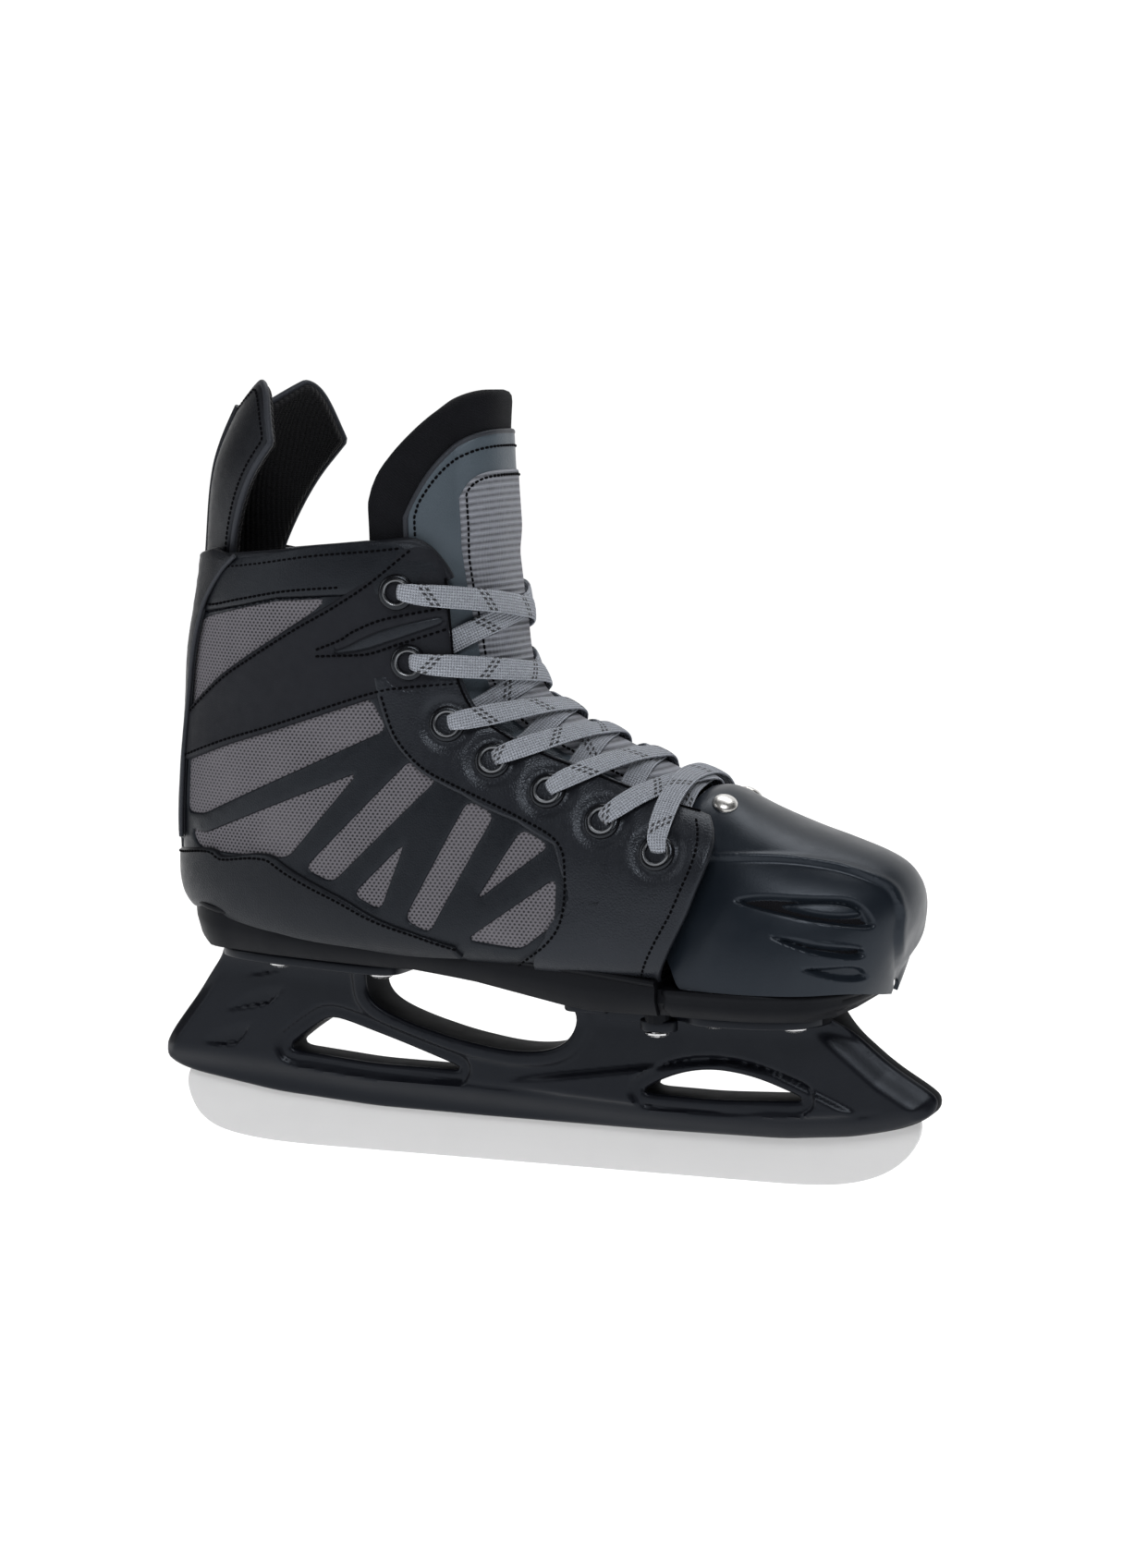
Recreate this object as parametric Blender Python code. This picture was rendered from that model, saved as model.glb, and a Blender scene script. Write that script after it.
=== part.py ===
"""An adjustable ice skate, for the right foot.

The outlines below are in millimetres and every mesh is made in metres. +X points to the toe, -Y to the
outer side of the foot and +Z up. The runner's lowest line lies on Z = 0, and the origin is below the
middle of the object.
"""

import math

import bmesh
import bpy
import numpy as np
from mathutils import Vector

MM = 0.001
GAP = 0.3                 # clearance between pieces that touch, mm

# Blade and holder
RUNNER_THICK = 3.0
RUNNER_TOP = 24.5
HOLDER_THICK = 18.0
FLANGE_THICK = 3.4
FRONT_DECK = 60.0         # top of the holder's front flange
REAR_DECK = 69.0          # top of the holder's rear flange at its front end
REAR_SLOPE = 0.045        # rise of that flange towards the heel

# Boot shell, measured inwards from the outer surface of the quarters
QUARTER_THICK = 2.6
OVERLAY = 1.5             # height of the facing and the heel counter over the quarters
PADDING = (-3.8, -8.2)    # outer and inner face of the ankle padding

# Lacing
LACE_WIDTH = 7.4
LACE_NARROW = 3.6         # folded width inside an eyelet
LACE_THICK = 1.3
EYELET_OUTER = 5.1
EYELET_HOLE = 2.5
EYELET_BARREL = 3.2
EYELETS = [(-38.0, 196.8), (-34.3, 173.5), (-21.2, 153.0), (-4.8, 141.3), (15.2, 132.0), (35.0, 123.0),
           (55.0, 114.0)]

# Size adjustment
TOE_TRAVEL = 20.0         # how far the toe section slides forward
BUTTON_TRAVEL = 4.0
TAIL_LOW, TAIL_HIGH = 60.3, 63.6
TOE_DECK = 69.2           # top of the toe sole
PIN_PLACES = [(69.0, 20.0), (95.5, 18.0)]
REAR_RIVETS = [(-89.0, 17.5), (-51.5, 17.5)]
RIVET_SHANK = 2.5
RIVET_HOLE = RIVET_SHANK + GAP
RIVET_HEAD = 4.1
BUSH_PLACE = (50.5, 24.2)
EAR_TOP = 56.0

# The hinge lines of the two soft flaps, as (x, z)
TONGUE_HINGE = (-11.5, 207.0)
GUARD_HINGE = (-124.0, 206.0)

# Sections of the boot, from above the collar to the front edge of the quarters: front (x, z),
# back or bottom (x, z), middle (x, z), half width, and the roundness exponents of front and back.
SECTIONS = [
    ((-13.0, 268.0), (-104.0, 266.0), (-60.0, 267.0), 30.0, 2.4, 2.0),
    ((-12.6, 240.0), (-118.0, 238.0), (-62.0, 239.0), 34.5, 2.5, 2.0),
    ((-11.0, 216.0), (-122.5, 205.0), (-62.0, 210.0), 35.5, 2.5, 2.0),
    ((-9.3, 201.0), (-125.0, 190.0), (-62.0, 195.0), 36.0, 2.5, 2.0),
    ((-7.3, 188.0), (-128.0, 173.0), (-62.0, 179.0), 35.5, 2.5, 2.0),
    ((-4.8, 172.0), (-129.4, 153.0), (-60.0, 160.0), 35.0, 2.5, 2.0),
    ((1.0, 161.5), (-131.4, 130.0), (-54.0, 142.0), 35.2, 2.5, 2.1),
    ((11.0, 154.5), (-131.6, 107.0), (-45.0, 126.0), 36.0, 2.6, 2.2),
    ((22.0, 149.0), (-126.0, 86.0), (-33.0, 113.0), 37.0, 2.7, 2.6),
    ((34.0, 143.5), (-92.0, 75.5), (-14.0, 104.0), 38.0, 2.8, 3.6),
    ((46.0, 138.0), (-45.0, 72.5), (9.0, 99.0), 39.0, 2.8, 4.0),
    ((57.0, 133.0), (2.0, 70.5), (31.0, 96.0), 40.0, 2.8, 4.0),
    ((68.0, 129.5), (32.0, 69.5), (50.0, 95.0), 40.5, 2.8, 4.0),
    ((78.0, 126.5), (53.0, 69.5), (66.0, 95.0), 40.5, 2.8, 4.0),
]
COLLAR = 2.0              # section number of the collar
TOE_END = len(SECTIONS) - 1.0
FACING_HALF_GAP = 27.0    # half the distance between the two facings

# Sections of the toe cap: crown (x, z), foot (x, z) and half width at the foot.
CAP_SECTIONS = [
    ((60.5, 132.4), (36.0, 83.0), 33.0),
    ((66.0, 133.2), (53.5, 81.5), 33.8),
    ((71.5, 132.0), (61.5, 69.5), 36.0),
    ((83.0, 126.6), (74.0, 69.5), 38.6),
    ((96.0, 121.6), (87.0, 69.5), 39.0),
    ((109.0, 117.3), (98.0, 69.5), 37.5),
    ((119.5, 113.0), (106.0, 69.5), 34.5),
    ((127.0, 108.0), (112.0, 69.5), 30.5),
    ((131.4, 101.5), (116.5, 69.2), 26.0),
    ((132.6, 94.0), (120.2, 68.6), 21.0),
    ((131.6, 86.0), (122.8, 67.8), 15.5),
    ((129.4, 78.0), (124.6, 67.0), 9.5),
    ((127.2, 71.0), (125.6, 66.4), 4.0),
]
CAP_ROUND = 2.15
CAP_THICK = 3.0

# Plan outline of the sole as (x, half width), and heights of its top edge and of its underside as (x, z).
SOLE_PLAN = [(-126.0, 0.0), (-125.0, 8.0), (-121.0, 16.5), (-114.0, 23.0), (-104.0, 27.5), (-90.0, 30.0),
             (-70.0, 31.0),
             (-45.0, 31.0), (-20.0, 32.0), (5.0, 34.5), (30.0, 37.0), (54.0, 38.0)]
SOLE_TOP = [(-126.0, 90.0), (-109.0, 87.0), (-74.0, 82.0), (-32.0, 79.0), (30.0, 75.0), (54.0, 72.5)]
SOLE_UNDER = [(-126.0, 83.0), (-121.0, 76.5), (-114.0, 72.3), (-44.0, 69.2), (-36.0, 69.4), (-12.0, 66.8),
              (20.0, 61.5), (30.0, 60.3), (54.0, 60.3)]
TOE_PLAN = [(54.3, 35.5), (62.0, 36.4), (72.0, 37.2), (84.0, 37.4), (95.0, 35.0), (104.0, 30.5),
            (111.0, 24.0),
            (115.5, 16.5), (118.0, 9.0), (118.8, 0.0)]


# ---------------------------------------------------------------- mesh helpers

def clear_scene():
    for obj in list(bpy.data.objects):
        bpy.data.objects.remove(obj, do_unlink=True)


def material(name, colour, roughness, metallic=0.0):
    mat = bpy.data.materials.new(name)
    mat.use_nodes = True
    shader = mat.node_tree.nodes["Principled BSDF"]
    shader.inputs["Base Color"].default_value = (*colour, 1.0)
    shader.inputs["Roughness"].default_value = roughness
    shader.inputs["Metallic"].default_value = metallic
    mat.diffuse_color = (*colour, 1.0)
    return mat


def add_object(name, points, faces, mat, parent=None, smooth=35.0):
    """An object from points in millimetres. Its origin is its parent's, or the world's."""
    mesh = bpy.data.meshes.new(name)
    origin = parent.location if parent else Vector()
    mesh.from_pydata([Vector(p) * MM - origin for p in points], [], faces)
    bm = bmesh.new()
    bm.from_mesh(mesh)
    bmesh.ops.recalc_face_normals(bm, faces=bm.faces)
    if bm.calc_volume(signed=True) < 0:
        bmesh.ops.reverse_faces(bm, faces=bm.faces)
    bm.to_mesh(mesh)
    bm.free()
    mesh.shade_smooth()
    mesh.set_sharp_from_angle(angle=math.radians(smooth))
    obj = bpy.data.objects.new(name, mesh)
    bpy.context.scene.collection.objects.link(obj)
    if mat:
        mesh.materials.append(mat)
    obj.parent = parent
    return obj


def as_guide(obj):
    obj.hide_render = True
    obj.display_type = "WIRE"
    return obj


def boolean(obj, other, operation="DIFFERENCE"):
    as_guide(other)
    modifier = obj.modifiers.new(other.name, "BOOLEAN")
    modifier.operation = operation
    modifier.object = other
    modifier.solver = "EXACT"
    return modifier


def pivot(name, place):
    """An empty on a joint's axis, at a point given in millimetres."""
    empty = bpy.data.objects.new(name, None)
    empty.location = Vector(place) * MM
    empty.empty_display_size = 0.02
    bpy.context.scene.collection.objects.link(empty)
    return empty


def stack(rings):
    """Points and faces of a closed body through rings of equal length, with both ends capped."""
    count = len(rings[0])
    points = [tuple(p) for ring in rings for p in ring]
    faces = []
    for i in range(len(rings) - 1):
        for j in range(count):
            k = (j + 1) % count
            faces.append((i * count + j, i * count + k, (i + 1) * count + k, (i + 1) * count + j))
    faces.append(tuple(range(count))[::-1])
    faces.append(tuple(range((len(rings) - 1) * count, len(rings) * count)))
    return points, faces


def box(low, high):
    (x0, y0, z0), (x1, y1, z1) = low, high
    rings = [[(x0, y0, z), (x1, y0, z), (x1, y1, z), (x0, y1, z)] for z in (z0, z1)]
    return stack(rings)


def slab(outline, y0, y1):
    """A side outline of (x, z) points, given thickness across Y."""
    return stack([[(x, y, z) for x, z in outline] for y in (y0, y1)])


def plate(outline, z0, z1):
    """A plan outline of (x, y) points, given thickness up Z."""
    return stack([[(x, y, z) for x, y in outline] for z in (z0, z1)])


def sloped_plate(outline, top, thick):
    """A plan outline of (x, y) points under a top face whose height depends on x."""
    return stack([[(x, y, top(x) - drop) for x, y in outline] for drop in (thick, 0.0)])


def arc(centre, radius, start, end, steps):
    """Points of (x, z) on an arc, with its angles in degrees."""
    turns = [math.radians(start + (end - start) * i / steps) for i in range(steps + 1)]
    return [(centre[0] + radius * math.cos(a), centre[1] + radius * math.sin(a)) for a in turns]


def turned(profile, centre, axis, steps=20):
    """A body turned from a closed profile of (radius, height) points about an axis through centre."""
    axis = np.array(axis, float) / np.linalg.norm(axis)
    across = np.array((0, 0, 1) if abs(axis[2]) < 0.9 else (1, 0, 0), float)
    side = np.cross(across, axis)
    side /= np.linalg.norm(side)
    front = np.cross(axis, side)
    count = len(profile)
    points = []
    for i in range(steps):
        a = 2 * math.pi * i / steps
        ray = side * math.cos(a) + front * math.sin(a)
        points += [tuple(np.array(centre) + ray * r + axis * h) for r, h in profile]
    faces = []
    for i in range(steps):
        k = (i + 1) % steps
        for j in range(count):
            m = (j + 1) % count
            faces.append((i * count + j, i * count + m, k * count + m, k * count + j))
    return points, faces


def pin(profile, centre, axis, steps=20):
    """A solid body turned from an open profile of (radius, height) points, closed by its two end discs."""
    axis = np.array(axis, float) / np.linalg.norm(axis)
    across = np.array((0, 0, 1) if abs(axis[2]) < 0.9 else (1, 0, 0), float)
    side = np.cross(across, axis)
    side /= np.linalg.norm(side)
    front = np.cross(axis, side)
    turns = [2 * math.pi * i / steps for i in range(steps)]
    return stack([[tuple(np.array(centre) + axis * h + r * (side * math.cos(a) + front * math.sin(a)))
                   for a in turns]
                  for r, h in profile])


def merged(parts):
    """Several bodies' points and faces as one list, for a cutter made of separate bodies."""
    points, faces = [], []
    for more_points, more_faces in parts:
        base = len(points)
        points += more_points
        faces += [tuple(base + i for i in face) for face in more_faces]
    return points, faces


# ---------------------------------------------------------------- boot surface

def eased(table, place):
    """A smooth value at a place along a table of rows of numbers (Catmull-Rom)."""
    place = min(max(place, 0.0), len(table) - 1.0)
    i = min(int(place), len(table) - 2)
    t = place - i
    p0, p1, p2, p3 = (np.array(table[min(max(k, 0), len(table) - 1)], float)
                      for k in (i - 1, i, i + 1, i + 2))
    return 0.5 * (2 * p1 + (p2 - p0) * t + (2 * p0 - 5 * p1 + 4 * p2 - p3) * t ** 2
                  + (3 * p1 - p0 - 3 * p2 + p3) * t ** 3)


BOOT_TABLE = [(*f, *b, *m, a, nf, nb) for f, b, m, a, nf, nb in SECTIONS]
CAP_TABLE = [(*t, *f, w) for t, f, w in CAP_SECTIONS]


def boot_surface(s, angle):
    """A point of the boot's outer surface. The angle runs from 0 at the front to pi at the back."""
    fx, fz, bx, bz, mx, mz, half, nf, nb = eased(BOOT_TABLE, s)
    c, w = math.cos(angle), math.sin(angle)
    ex, ez, n = (fx - mx, fz - mz, nf) if c > 0 else (bx - mx, bz - mz, nb)
    reach = abs(c) ** (2 / n)
    return np.array([mx + ex * reach, -half * math.copysign(abs(w) ** (2 / n), w), mz + ez * reach])


def cap_surface(s, angle):
    """A point of the toe cap's outer surface. The angle runs from 0 at the crown to pi / 2 at the foot."""
    tx, tz, fx, fz, half = eased(CAP_TABLE, s)
    c, w = math.cos(angle), math.sin(angle)
    rise = math.copysign(abs(c) ** (2 / CAP_ROUND), c)
    bulge = 1.6 * math.sin(2 * abs(angle)) ** 2 * half / 38
    return np.array([fx + (tx - fx) * rise, -math.copysign(half * abs(w) ** (2 / CAP_ROUND) + bulge, w),
                     fz + (tz - fz) * rise])


def raised(surface, s, angle, offset, centre):
    """A surface point moved along its outward normal."""
    point = surface(s, angle)
    if not offset:
        return point
    along = surface(s + 0.02, angle) - surface(s - 0.02, angle)
    # The superellipse stands still at its quadrants, so the second difference is taken over a wider step.
    around = surface(s, angle + 0.03) - surface(s, angle - 0.03)
    normal = np.cross(along, around)
    normal /= np.linalg.norm(normal)
    if normal @ (point - centre) < 0:
        normal = -normal
    return point + normal * offset


def boot(s, angle, offset=0.0):
    middle = eased(BOOT_TABLE, s)[4:6]
    return raised(boot_surface, s, angle, offset, np.array([middle[0], 0.0, middle[1]]))


def cap(s, angle, offset=0.0):
    foot = eased(CAP_TABLE, s)[2:4]
    return raised(cap_surface, s, angle, offset, np.array([foot[0] - 25.0, 0.0, foot[1] + 5.0]))


def shell(rows, columns, point, outer, inner):
    """A closed shell at point(u, v, offset). outer and inner are offsets or functions of (u, v)."""
    def height(value, u, v):
        return value(u, v) if callable(value) else value

    grids = []
    for value in (outer, inner):
        grids.append([[tuple(point(i / rows, j / columns, height(value, i / rows, j / columns)))
                       for j in range(columns + 1)] for i in range(rows + 1)])
    width = columns + 1
    points = [p for grid in grids for row in grid for p in row]
    base = (rows + 1) * width
    faces = []
    for i in range(rows):
        for j in range(columns):
            a = i * width + j
            faces.append((a, a + 1, a + width + 1, a + width))
            faces.append((base + a, base + a + width, base + a + width + 1, base + a + 1))
    rim = [(0, j) for j in range(columns)] + [(i, columns) for i in range(rows)]
    rim += [(rows, j) for j in range(columns, 0, -1)] + [(i, 0) for i in range(rows, 0, -1)]
    for k, (i, j) in enumerate(rim):
        m, n = rim[(k + 1) % len(rim)]
        faces.append((i * width + j, base + i * width + j, base + m * width + n, m * width + n))
    return points, faces


def facing_angle(s, half_gap):
    """The angle at which the boot's half width equals half_gap, on the front half."""
    half, nf = eased(BOOT_TABLE, s)[6:8]
    return math.asin(min(half_gap / half, 1.0) ** (nf / 2))


def find_on_side(x, z):
    """The (s, angle) of the boot surface at a side-view point, by closing in on it."""
    best, span_s, span_a = (COLLAR + 5.0, 1.2), 7.0, 1.3
    for _ in range(9):
        tries = [(best[0] + span_s * i / 6, best[1] + span_a * j / 6) for i in range(-6, 7)
                 for j in range(-6, 7)]
        tries = [(min(max(s, 0.0), TOE_END), min(max(a, 0.02), math.pi - 0.02)) for s, a in tries]
        best = min(tries, key=lambda t: math.hypot(*(boot_surface(*t)[[0, 2]] - (x, z))))
        span_s, span_a = span_s * 0.4, span_a * 0.4
    return best


EYELET_PLACES = [find_on_side(x, z) for x, z in EYELETS]


def eyelet_frame(index, side):
    """Centre on the boot and outward normal of an eyelet. side is 1 for the outer side, -1 for the inner."""
    s, angle = EYELET_PLACES[index]
    low, high = boot(s, side * angle), boot(s, side * angle, 1.0)
    return low, high - low


# ---------------------------------------------------------------- blade and holder

def runner_outline(grow=0.0):
    """Side outline of the steel runner: a flat middle, two arcs up to the ends, and a straight top edge."""
    low = [(-90.0, 0.0), (90.0, 0.0), (104.0, 0.7), (116.0, 3.2), (125.0, 7.6), (131.0, 13.5),
           (134.5, 21.0)]
    top = [(133.0, 27.5 + grow), (118.0, 26.0 + grow), (100.0, RUNNER_TOP + grow),
           (-96.0, RUNNER_TOP + grow),
           (-116.0, 27.5 + grow), (-129.5, 29.5 + grow)]
    rear = [(-134.5, 21.0), (-132.5, 13.0), (-128.6, 7.2), (-121.0, 2.9), (-106.0, 0.6)]
    return low + top + rear


def rear_deck(x):
    """Height of the rear flange's top, which rises towards the heel."""
    return REAR_DECK + REAR_SLOPE * (-50.0 - x)


def holder_outline():
    """Side outline of the holder, from the rear nose along the bottom to the front and back over the arch."""
    bottom = [(-140.4, 33.0), (-139.6, 28.6), (-136.5, 25.6), (-130.0, 23.6), (-98.0, 18.6),
              (-60.0, 16.0), (-20.0, 15.5),
              (40.0, 15.2), (88.0, 15.8), (112.0, 18.2), (128.0, 22.0), (136.0, 25.6)]
    nose = arc((135.8, 31.0), 4.6, -45.0, 42.0, 4)
    front = [(124.5, 43.0), (106.0, 58.0), (103.5, FRONT_DECK)]
    arch = [(14.0, FRONT_DECK), (16.6, 55.0), (16.2, 49.6), (13.0, 44.6), (7.0, 41.4), (-2.0, 40.2),
            (-12.0, 40.6),
            (-28.0, 43.2), (-44.0, 47.4), (-55.0, 51.6), (-60.0, 56.0), (-61.0, 62.0),
            (-59.0, rear_deck(-59.0) - 0.2)]
    rear = [(-113.0, rear_deck(-113.0) - 0.2), (-116.0, 67.0), (-129.0, 50.0), (-137.6, 38.6)]
    return bottom + nose + front + arch + rear


REAR_WINDOW = [(-93.0, 34.6), (-86.2, 40.3), (-80.5, 44.3), (-76.7, 46.6), (-72.1, 46.6), (-48.0, 39.4),
               (-24.0, 31.4),
               (-60.0, 31.8)]
FRONT_WINDOW = [(38.5, 28.6), (44.0, 32.6), (52.3, 36.2), (60.5, 38.0), (69.0, 38.2), (80.4, 36.4),
                (98.6, 29.9),
                (64.0, 28.2)]
REAR_FLANGE = [(-114.0, 14.0), (-108.0, 20.5), (-98.0, 24.0), (-60.0, 25.5), (-48.0, 24.0), (-44.5, 19.0),
               (-44.0, 10.0)]
FRONT_FLANGE = [(14.0, 16.0), (17.0, 19.0), (42.0, 20.0), (58.0, 22.0), (63.0, 28.5), (70.0, 30.5),
                (88.0, 30.0),
                (100.0, 27.0), (109.0, 21.0), (114.5, 12.0)]
BUTTON_RECESS = (30.6, 41.4, 54.8)          # rear, front and floor of the slot that the size button runs in


def both_sides(half):
    """A closed plan outline from its half given as (x, half width)."""
    return [(x, -w) for x, w in half] + [(x, w) for x, w in reversed(half) if w]


def make_holder(mat):
    points, faces = slab(holder_outline(), -HOLDER_THICK / 2, HOLDER_THICK / 2)
    holder = add_object("blade_holder", points, faces, mat)
    flanges = ((REAR_FLANGE, rear_deck, "rear_flange_shape"),
               (FRONT_FLANGE, lambda x: FRONT_DECK, "front_flange_shape"))
    for outline, deck, name in flanges:
        points, faces = sloped_plate(both_sides(outline), deck, FLANGE_THICK)
        boolean(holder, add_object(name, points, faces, None), "UNION")
    ears = [(44.5, 22.0), (46.5, 28.0), (54.5, 28.0), (57.0, 22.0)]
    points, faces = plate(both_sides(ears), EAR_TOP - 2.8, EAR_TOP + 1.2)
    boolean(holder, add_object("ear_shape", points, faces, None), "UNION")
    seat = [pin([(5.2, EAR_TOP), (5.2, 70.0)], (BUSH_PLACE[0], side * BUSH_PLACE[1], 0.0), (0, 0, 1), 20)
            for side in (-1, 1)]
    boolean(holder, add_object("bush_seat_cutter", *merged(seat), None))
    web = HOLDER_THICK / 2 + 2
    windows = [slab(outline, -web, web) for outline in (REAR_WINDOW, FRONT_WINDOW)]
    boolean(holder, add_object("window_cutter", *merged(windows), None))
    groove = RUNNER_THICK / 2 + GAP
    points, faces = slab(runner_outline(GAP), -groove, groove)
    boolean(holder, add_object("groove_cutter", points, faces, None))
    rear, front, floor = BUTTON_RECESS
    recess = [box((rear, -40.0, floor), (front, -15.0, FRONT_DECK + 2)),
              box((rear, -12.0, floor), (front, 40.0, FRONT_DECK + 2))]
    boolean(holder, add_object("button_recess_cutter", *merged(recess), None))
    holes = [pin([(RIVET_HOLE, 45.0), (RIVET_HOLE, 70.0)], (BUSH_PLACE[0], side * BUSH_PLACE[1], 0.0),
                 (0, 0, 1), 12)
             for side in (-1, 1)]
    for x, y in REAR_RIVETS + PIN_PLACES:
        deck = rear_deck(x) if x < 0 else FRONT_DECK
        for side in (-1, 1):
            low, high = deck - FLANGE_THICK - 2, deck + 2
            holes.append(pin([(RIVET_HOLE, low), (RIVET_HOLE, high)], (x, side * y, 0.0), (0, 0, 1), 12))
    boolean(holder, add_object("rivet_hole_cutter", *merged(holes), None))
    return holder


def make_runner(mat):
    points, faces = slab(runner_outline(), -RUNNER_THICK / 2, RUNNER_THICK / 2)
    return add_object("steel_runner", points, faces, mat)


# ---------------------------------------------------------------- soles

def read_at(table, x):
    return float(np.interp(x, [p[0] for p in table], [p[1] for p in table]))


def sole_block(xs, half_width, top, under, tuck):
    """A sole from cross sections at the given x, with sides that draw in by tuck towards the underside."""
    rings = []
    for x in xs:
        w, high, low = max(half_width(x), 0.6), top(x), under(x)
        inner = max(w - tuck, 0.4)
        rings.append([(x, -w, high), (x, -w - 0.5, (high + low) / 2), (x, -inner, low), (x, inner, low),
                      (x, w + 0.5, (high + low) / 2), (x, w, high)])
    return stack(rings)


def sole_clearance(s, angle):
    """The sole's cup stands off the quarters, and further off where the heel counter lies over them."""
    at_side = min(max((2.85 - angle) / 0.25, 0.0), 1.0)
    at_back = min(max((8.6 - s) / 0.3, 0.0), 1.0)
    return 2.0 * GAP + (OVERLAY + 2.0 * GAP) * min(max(10.9 - s, 0.0), 1.0) * max(at_side, at_back)


def boot_body(offset, first, rows=20, columns=24):
    """The whole boot's outer volume, grown by an offset, for cutting the parts that wrap round it."""
    rings = []
    for i in range(rows + 1):
        s = first + (TOE_END - first) * i / rows
        turns = [-math.pi + 2 * math.pi * (j + 0.5) / columns for j in range(columns)]
        rings.append([tuple(boot(s, turn, offset(s, abs(turn)))) for turn in turns])
    return stack(rings)


def make_heel_sole(mat):
    xs = [-125.8, -124.5, -121.0, -114.0, -104.0, -90.0, -70.0, -45.0, -36.0, -20.0, 5.0, 20.0, 30.0,
          42.0, 54.0]
    points, faces = sole_block(xs, lambda x: read_at(SOLE_PLAN, x), lambda x: read_at(SOLE_TOP, x),
                               lambda x: read_at(SOLE_UNDER, x), 3.0)
    sole = add_object("heel_sole", points, faces, mat)
    boolean(sole, add_object("boot_cutter", *boot_body(sole_clearance, 6.0), None))
    channel = box((12.0, -15.5, FRONT_DECK - 4), (60.0, 15.5, TAIL_HIGH + GAP))
    boolean(sole, add_object("slide_channel_cutter", *channel, None))
    holes = [pin([(RIVET_HOLE, 50.0), (RIVET_HOLE, top)], (x, side * y, 0.0), (0, 0, 1), 12)
             for (x, y), top in zip(REAR_RIVETS + [BUSH_PLACE], (90.0, 90.0, 66.5)) for side in (-1, 1)]
    boolean(sole, add_object("sole_rivet_hole_cutter", *merged(holes), None))
    return sole


def make_toe_sole(mat, parent):
    xs = [x for x, _ in TOE_PLAN[:-1]] + [118.6]
    under = [(54.0, FRONT_DECK + GAP), (104.0, FRONT_DECK + GAP), (113.0, 62.0), (121.0, 67.0)]
    points, faces = sole_block(xs, lambda x: read_at(TOE_PLAN, x), lambda x: TOE_DECK,
                               lambda x: read_at(under, x), 3.0)
    sole = add_object("toe_sole", points, faces, mat, parent)
    tail = plate([(16.0, -14.0), (18.0, -15.0), (58.0, -15.0), (58.0, 15.0), (18.0, 15.0), (16.0, 14.0)],
                 TAIL_LOW, TAIL_HIGH)
    boolean(sole, add_object("slide_tail_shape", *tail, None), "UNION")
    window = [(20.0, -8.0), (50.0, -8.0), (50.0, 6.0)]
    for step in range(4):
        x = 38.0 - step * TOE_TRAVEL / 3
        window += [(x + 1.8, 6.0), (x + 1.8, 8.5), (x - 1.8, 8.5), (x - 1.8, 6.0)]
    window += [(20.0, 6.0)]
    boolean(sole, add_object("rack_window_cutter", *plate(window, TAIL_LOW - 2, TAIL_HIGH + 2), None))
    pocket = plate(both_sides([(57.0, 20.0), (60.0, 25.0), (88.0, 25.5), (100.0, 22.0), (106.0, 15.0)]),
                   TAIL_HIGH, 75.0)
    boolean(sole, add_object("toe_pocket_cutter", *pocket, None))
    slots = [box((50.0, side * 20.0 - 4.6, TAIL_HIGH), (62.0, side * 20.0 + 4.6, 75.0)) for side in (-1, 1)]
    boolean(sole, add_object("pin_head_channel_cutter", *merged(slots), None))
    slots = []
    for x, y in PIN_PLACES:
        for side in (-1, 1):
            rear, front, reach = x - TOE_TRAVEL, x, 2.9
            outline = [(rear + px, side * y + py) for px, py in arc((0, 0), reach, 90.0, 270.0, 4)]
            outline += [(front + px, side * y + py) for px, py in arc((0, 0), reach, -90.0, 90.0, 4)]
            slots.append(plate(outline, FRONT_DECK - 2, TAIL_HIGH + 2))
    boolean(sole, add_object("slide_slot_cutter", *merged(slots), None))
    return sole


# ---------------------------------------------------------------- upper

def front_corner(v):
    """How far the quarter's top edge drops towards the facing, in section numbers. v is 0 at the facing."""
    return 0.62 * max(0.0, 1 - v / 0.16) ** 2.2


def make_quarter(name, side, mat):
    def place(u, v, offset):
        first = COLLAR + front_corner(v)
        s = first + (TOE_END - first) * u
        start = facing_angle(s, FACING_HALF_GAP - 3.0 * u)
        angle = start + (math.pi - start) * v
        point = boot(s, angle, offset)
        point[1] = min(point[1], -0.5 * GAP)
        point[1] *= side
        return point

    def inner(u, v):
        """The leather is skived inside the front corner, which the toe cap slides under."""
        return -QUARTER_THICK + 1.3 * max(0.0, (u - 0.84) / 0.16) * max(0.0, 1.0 - v / 0.3)

    quarter = add_object(name, *shell(21, 14, place, 0.0, inner), mat)
    boolean(quarter, add_object(name + "_hole_cutter", *eyelet_holes(side), None))
    return quarter


def eyelet_holes(side):
    holes = []
    for index in range(len(EYELETS)):
        centre, normal = eyelet_frame(index, side)
        holes.append(pin([(EYELET_BARREL + GAP, -8.0), (EYELET_BARREL + GAP, 6.0)], centre, normal, 12))
    return merged(holes)


def make_facing(name, side, mat):
    """The leather strip that carries the eyelets, over the quarter's front edge."""
    def place(u, v, offset):
        first = COLLAR + 0.12 + front_corner(v * 0.3)
        s = first + (TOE_END - 0.15 - first) * u
        start = facing_angle(s, FACING_HALF_GAP + 0.5 - 3.0 * u)
        reach = 0.62 + 0.1 * u
        point = boot(s, start + reach * v, offset)
        point[1] *= side
        return point

    facing = add_object(name, *shell(18, 4, place, OVERLAY, GAP), mat)
    boolean(facing, add_object(name + "_hole_cutter", *eyelet_holes(side), None))
    return facing


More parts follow.
